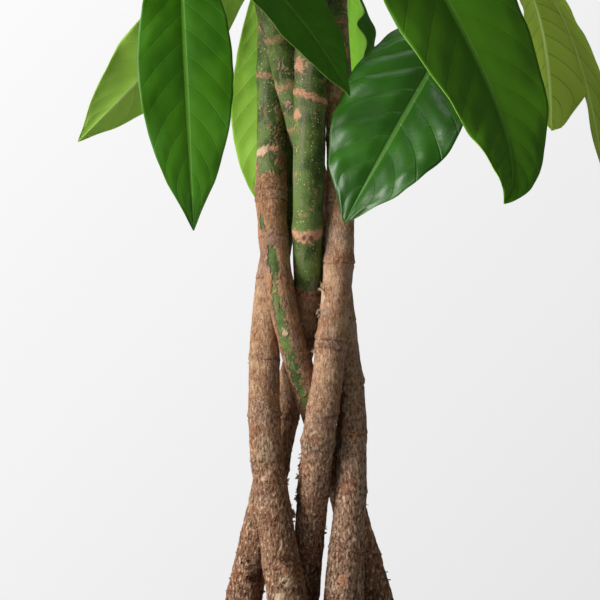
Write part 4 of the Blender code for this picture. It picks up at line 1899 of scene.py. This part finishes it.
@dataclass
class Pot:
    """The stoneware pot, sized from its CAD node."""

    height: float
    rim_radius: float
    foot_radius: float = 0.104
    wall: float = 6.5 * MM
    floor: float = 10.0 * MM
    band: float = 24.0 * MM
    proud: float = 4.0 * MM
    round: float = 2.4 * MM
    sides: int = 144

    INSIDE = (0.20, 0.15, 0.10, 0.05)
    ARC_STEPS = 4
    WALL_STEPS = 14
    SHARP = math.radians(50)

    @classmethod
    def from_cad(cls) -> "Pot":
        """Returns a pot that fills the CAD node's box."""
        low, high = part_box("pot")
        return cls(height=high.z - low.z, rim_radius=high.x)

    def wall_at(self, height: float) -> float:
        """Returns the outer radius of the tapered wall at a height."""
        top = self.rim_radius - self.proud
        return self.foot_radius + (top - self.foot_radius) * height / self.height

    def arc(self, centre: tuple[float, float], radius: float, first: float, last: float) -> Profile:
        """Returns the points of a rounded corner in the profile.

        Args:
            centre: The corner's centre.
            radius: Its radius.
            first: The angle that it starts at, in degrees.
            last: The angle that it ends at.

        Returns:
            The points' radii and heights.
        """
        points = []
        for step in range(self.ARC_STEPS + 1):
            turn = math.radians(first + (last - first) * step / self.ARC_STEPS)
            points.append((centre[0] + radius * math.cos(turn), centre[1] + radius * math.sin(turn)))
        return points

    def profile(self) -> Profile:
        """Returns the pot's half section, from the middle of its foot to the middle of its floor.

        Returns:
            The points' radii and heights.
        """
        r = self.round
        under = self.height - self.band
        top_out = self.rim_radius
        top_in = self.wall_at(self.height) - self.wall
        steps = [under * step / self.WALL_STEPS for step in range(1, self.WALL_STEPS)]
        lip = r * 0.6
        return [
            (0.0, 0.0),
            *self.arc((self.foot_radius - r, r), r, -90, 0),
            *[(self.wall_at(h), h) for h in steps],
            (self.wall_at(under - r), under - r),
            *self.arc((self.wall_at(under) + self.proud - lip, under + lip), lip, -90, 0),
            *self.arc((top_out - r, self.height - r), r, 0, 90),
            *self.arc((top_in + r, self.height - r), r, 90, 180),
            *[(self.wall_at(h) - self.wall, h) for h in self.INSIDE],
            (self.wall_at(self.floor) - self.wall, self.floor),
            (0.0, self.floor),
        ]

    def build(self, finishes: Finishes) -> None:
        """Adds the pot to the scene in place of the CAD solid.

        Args:
            finishes: The plant's materials.
        """
        pot = new_piece("pot_stoneware", turned(self.profile(), self.sides), [finishes.pot])
        pot.data.set_sharp_from_angle(angle=self.SHARP)
        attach(pot, "root")
        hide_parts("pot")
        LOG.info("%s: %d faces", pot.name, len(pot.data.polygons))


@dataclass
class Soil:
    """Potting mix in the pot, with bark chips and perlite lying on it."""

    routes: dict[str, StemRoute]
    pot: Pot
    level: float
    floor: float
    chips: int = 420
    grains: int = 120

    RINGS = 64
    SIDES = 200

    @classmethod
    def from_cad(cls, routes: dict[str, StemRoute], pot: Pot) -> "Soil":
        """Returns the soil at the levels of its CAD node."""
        low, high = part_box("soil")
        return cls(routes=routes, pot=pot, level=high.z - 3.0 * MM, floor=low.z)

    def radius(self) -> float:
        """Returns the soil's radius at its top."""
        return self.pot.wall_at(self.level) - self.pot.wall - 0.4 * MM

    def height_at(self, place: Vector) -> float:
        """Returns the height of the loose surface at a place.

        Args:
            place: The place, whose own height isn't read.

        Returns:
            The height in metres.
        """
        flat = Vector((place.x, place.y, 0.0))
        rough = 1.6 * MM * noise.noise(flat * 45.0) + 1.1 * MM * noise.noise(flat * 150.0)
        rough += 0.5 * MM * noise.noise(flat * 420.0)
        near = min((flat - self.foot_of(route)).length for route in self.routes.values())
        heap = 2.4 * MM * smoothstep(34 * MM, 14 * MM, near)
        return self.level - 1.5 * MM + rough + heap - 2.0 * MM * (flat.length / self.radius()) ** 4

    def foot_of(self, route: StemRoute) -> Vector:
        """Returns the place where a stem leaves the soil."""
        centre, _ = route.at(self.level)
        return Vector((centre.x, centre.y, 0.0))

    def under_stem(self, place: Vector, room: float) -> bool:
        """Returns whether a place is in a stem or closer to its bark than room."""
        routes = self.routes.values()
        return any((place - self.foot_of(r)).length < r.at(self.level)[1] + room for r in routes)

    def bed(self) -> bmesh.types.BMesh:
        """Returns the body of the mix, with its loose top.

        Returns:
            The closed solid.
        """
        edge = self.radius()
        top = [(edge * (1 - step / self.RINGS), self.level) for step in range(1, self.RINGS + 1)]
        profile = [
            (0.0, self.floor),
            (self.pot.wall_at(self.floor) - self.pot.wall - 1.0 * MM, self.floor),
            (edge - 0.5 * MM, self.level - 8.0 * MM),
            (edge - 0.3 * MM, self.level - 3.0 * MM),
            *top,
        ]
        bm = turned(profile, self.SIDES)
        for vert in bm.verts:
            if vert.co.z > self.level - 0.1 * MM:
                vert.co.z = self.height_at(vert.co)
        return bm

    def scatter(self, count: int, size: float, flat: float, seed: int) -> bmesh.types.BMesh:
        """Returns a scatter of small rough lumps on the surface.

        Args:
            count: How many lumps.
            size: Their mean length.
            flat: Their thickness as a share of their length.
            seed: What the draws start from.

        Returns:
            The lumps, as closed shells.
        """
        draw = random.Random(seed)
        bm = bmesh.new()
        made = 0
        while made < count:
            reach = self.radius() * math.sqrt(draw.random()) * 0.97
            place = reach * heading(draw.uniform(0, 360))
            if self.under_stem(place, size * 0.3):
                continue
            length = size * draw.uniform(0.5, 1.5)
            verts = bmesh.ops.create_icosphere(bm, subdivisions=1, radius=0.5)["verts"]
            for vert in verts:
                vert.co *= draw.uniform(0.75, 1.15)
            scale = Matrix.Diagonal((length, length * draw.uniform(0.4, 0.8), length * flat, 1.0))
            spin = Matrix.Rotation(draw.uniform(0, math.tau), 4, "Z")
            tip = Matrix.Rotation(draw.gauss(0, 0.35), 4, "X")
            rest = Matrix.Translation((place.x, place.y, self.height_at(place) + length * flat * 0.2))
            bmesh.ops.transform(bm, matrix=rest @ (spin @ tip) @ scale, verts=verts)
            made += 1
        return bm

    def build(self, finishes: Finishes) -> None:
        """Adds the mix, the chips and the perlite to the scene.

        Args:
            finishes: The plant's materials.
        """
        bed = new_piece("soil_bed", self.bed(), [finishes.mix])
        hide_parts("soil")
        loose = self.scatter(self.chips, size=8.0 * MM, flat=0.34, seed=11)
        chips = new_piece("soil_bark_chips", loose, [finishes.chip])
        loose = self.scatter(self.grains, size=3.2 * MM, flat=0.75, seed=12)
        grains = new_piece("soil_perlite", loose, [finishes.perlite])
        for piece in (bed, chips, grains):
            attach(piece, "root")
            LOG.info("%s: %d faces", piece.name, len(piece.data.polygons))
        for piece in (chips, grains):
            piece.data.shade_flat()


# ---------------------------------------------------------------------------
# Studio
# ---------------------------------------------------------------------------


@dataclass(frozen=True)
class Softbox:
    """A square area light that looks at the plant."""

    name: str
    place: Triple
    size: float
    power: float
    color: Color = (1.0, 1.0, 1.0)

    def build(self, target: Vector) -> None:
        """Adds the light to the scene, turned to its target.

        Args:
            target: The point that it looks at.
        """
        light = bpy.data.lights.new(self.name, "AREA")
        light.shape = "SQUARE"
        light.size = self.size
        light.energy = self.power
        light.color = self.color
        lamp = bpy.data.objects.new(self.name, light)
        lamp.location = self.place
        lamp.rotation_mode = "QUATERNION"
        lamp.rotation_quaternion = (target - Vector(self.place)).to_track_quat("-Z", "Y")
        bpy.context.scene.collection.objects.link(lamp)


@dataclass(frozen=True)
class Studio:
    """A pale floor, a white surround, soft lights from the left, and the camera."""

    distance: float = 1.25
    aside: float = -0.0056
    level: float = 0.485
    field_of_view: float = 0.42
    floor_radius: float = 1.5
    ambient: float = 0.16
    white: float = 0.877
    fall: float = 0.1
    slope: Triple = (-0.27, 0.0, 0.25)
    sky: Color = (0.97, 0.98, 1.0)
    floor_tones: tuple[Color, Color] = ((0.80, 0.80, 0.79), (0.84, 0.84, 0.83))
    aim: float = 0.52
    boxes: tuple[Softbox, ...] = (
        Softbox("window", (-2.90, -1.30, 1.45), 1.7, 178.0, (1.0, 0.98, 0.95)),
        Softbox("overhead", (-0.1, 0.3, 2.6), 1.2, 24.0),
    )

    SENSOR = 36.0
    FAR = 20.0

    def floor(self) -> None:
        """Adds the floor."""
        bm = bmesh.new()
        bmesh.ops.create_circle(bm, cap_ends=True, radius=self.floor_radius, segments=96)
        graph = Graph("studio_floor")
        tone = graph.ramp(graph.noise(graph.place(), 3.0, 2.0), 0.3, 0.7)
        finish = graph.finish(graph.mix(tone, *self.floor_tones), 0.8)
        new_piece("studio_floor", bm, [finish])

    def surround(self) -> None:
        """Sets a dim even surround that the camera sees as a bright, slightly falling white."""
        world = bpy.data.worlds.new("surround")
        bpy.context.scene.world = world
        world.use_nodes = True
        tree = world.node_tree
        tree.nodes.clear()
        out = tree.nodes.new("ShaderNodeOutputWorld")
        lit, seen = (tree.nodes.new("ShaderNodeBackground") for _ in range(2))
        lit.inputs["Color"].default_value = (*self.sky, 1.0)
        lit.inputs["Strength"].default_value = self.ambient
        look = tree.nodes.new("ShaderNodeTexCoord")
        slope = tree.nodes.new("ShaderNodeVectorMath")
        slope.operation = "DOT_PRODUCT"
        slope.inputs[1].default_value = self.slope
        tree.links.new(look.outputs["Generated"], slope.inputs[0])
        shade = tree.nodes.new("ShaderNodeMapRange")
        shade.inputs["From Min"].default_value = -self.fall
        shade.inputs["From Max"].default_value = self.fall
        shade.inputs["To Min"].default_value = self.white - self.fall
        shade.inputs["To Max"].default_value = self.white + self.fall
        tree.links.new(slope.outputs["Value"], shade.inputs["Value"])
        tree.links.new(shade.outputs["Result"], seen.inputs["Color"])
        choose = tree.nodes.new("ShaderNodeMixShader")
        path = tree.nodes.new("ShaderNodeLightPath")
        tree.links.new(path.outputs["Is Camera Ray"], choose.inputs[0])
        tree.links.new(lit.outputs[0], choose.inputs[1])
        tree.links.new(seen.outputs[0], choose.inputs[2])
        tree.links.new(choose.outputs[0], out.inputs["Surface"])

    def camera(self) -> None:
        """Adds the level camera that looks along +Y at the braid."""
        data = bpy.data.cameras.new("camera")
        data.sensor_width = self.SENSOR
        data.lens = self.SENSOR * self.distance / self.field_of_view
        data.clip_end = self.FAR
        camera = bpy.data.objects.new("camera", data)
        camera.location = (self.aside, -self.distance, self.level)
        camera.rotation_euler = (math.radians(90.0), 0.0, 0.0)
        bpy.context.scene.collection.objects.link(camera)
        bpy.context.scene.camera = camera

    def build(self) -> None:
        """Adds the floor, the surround, the lights and the camera."""
        self.floor()
        self.surround()
        for box in self.boxes:
            box.build(Vector((0.0, 0.0, self.aim)))
        self.camera()
        bpy.context.scene.view_settings.view_transform = "Standard"


def main() -> None:
    """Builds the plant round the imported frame."""
    logging.basicConfig(level=logging.INFO, format="%(name)s %(message)s")
    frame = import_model()
    finishes = Finishes()
    Studio().build()
    routes = {look.node: StemRoute(frame["nodes"][look.node]) for look in STEM_LOOKS}
    for number, look in enumerate(STEM_LOOKS):
        Stem(look, routes[look.node], number).build(finishes)
    Foliage().build(routes, finishes)
    pot = Pot.from_cad()
    pot.build(finishes)
    Soil.from_cad(routes, pot).build(finishes)


if __name__ == "__main__":
    main()
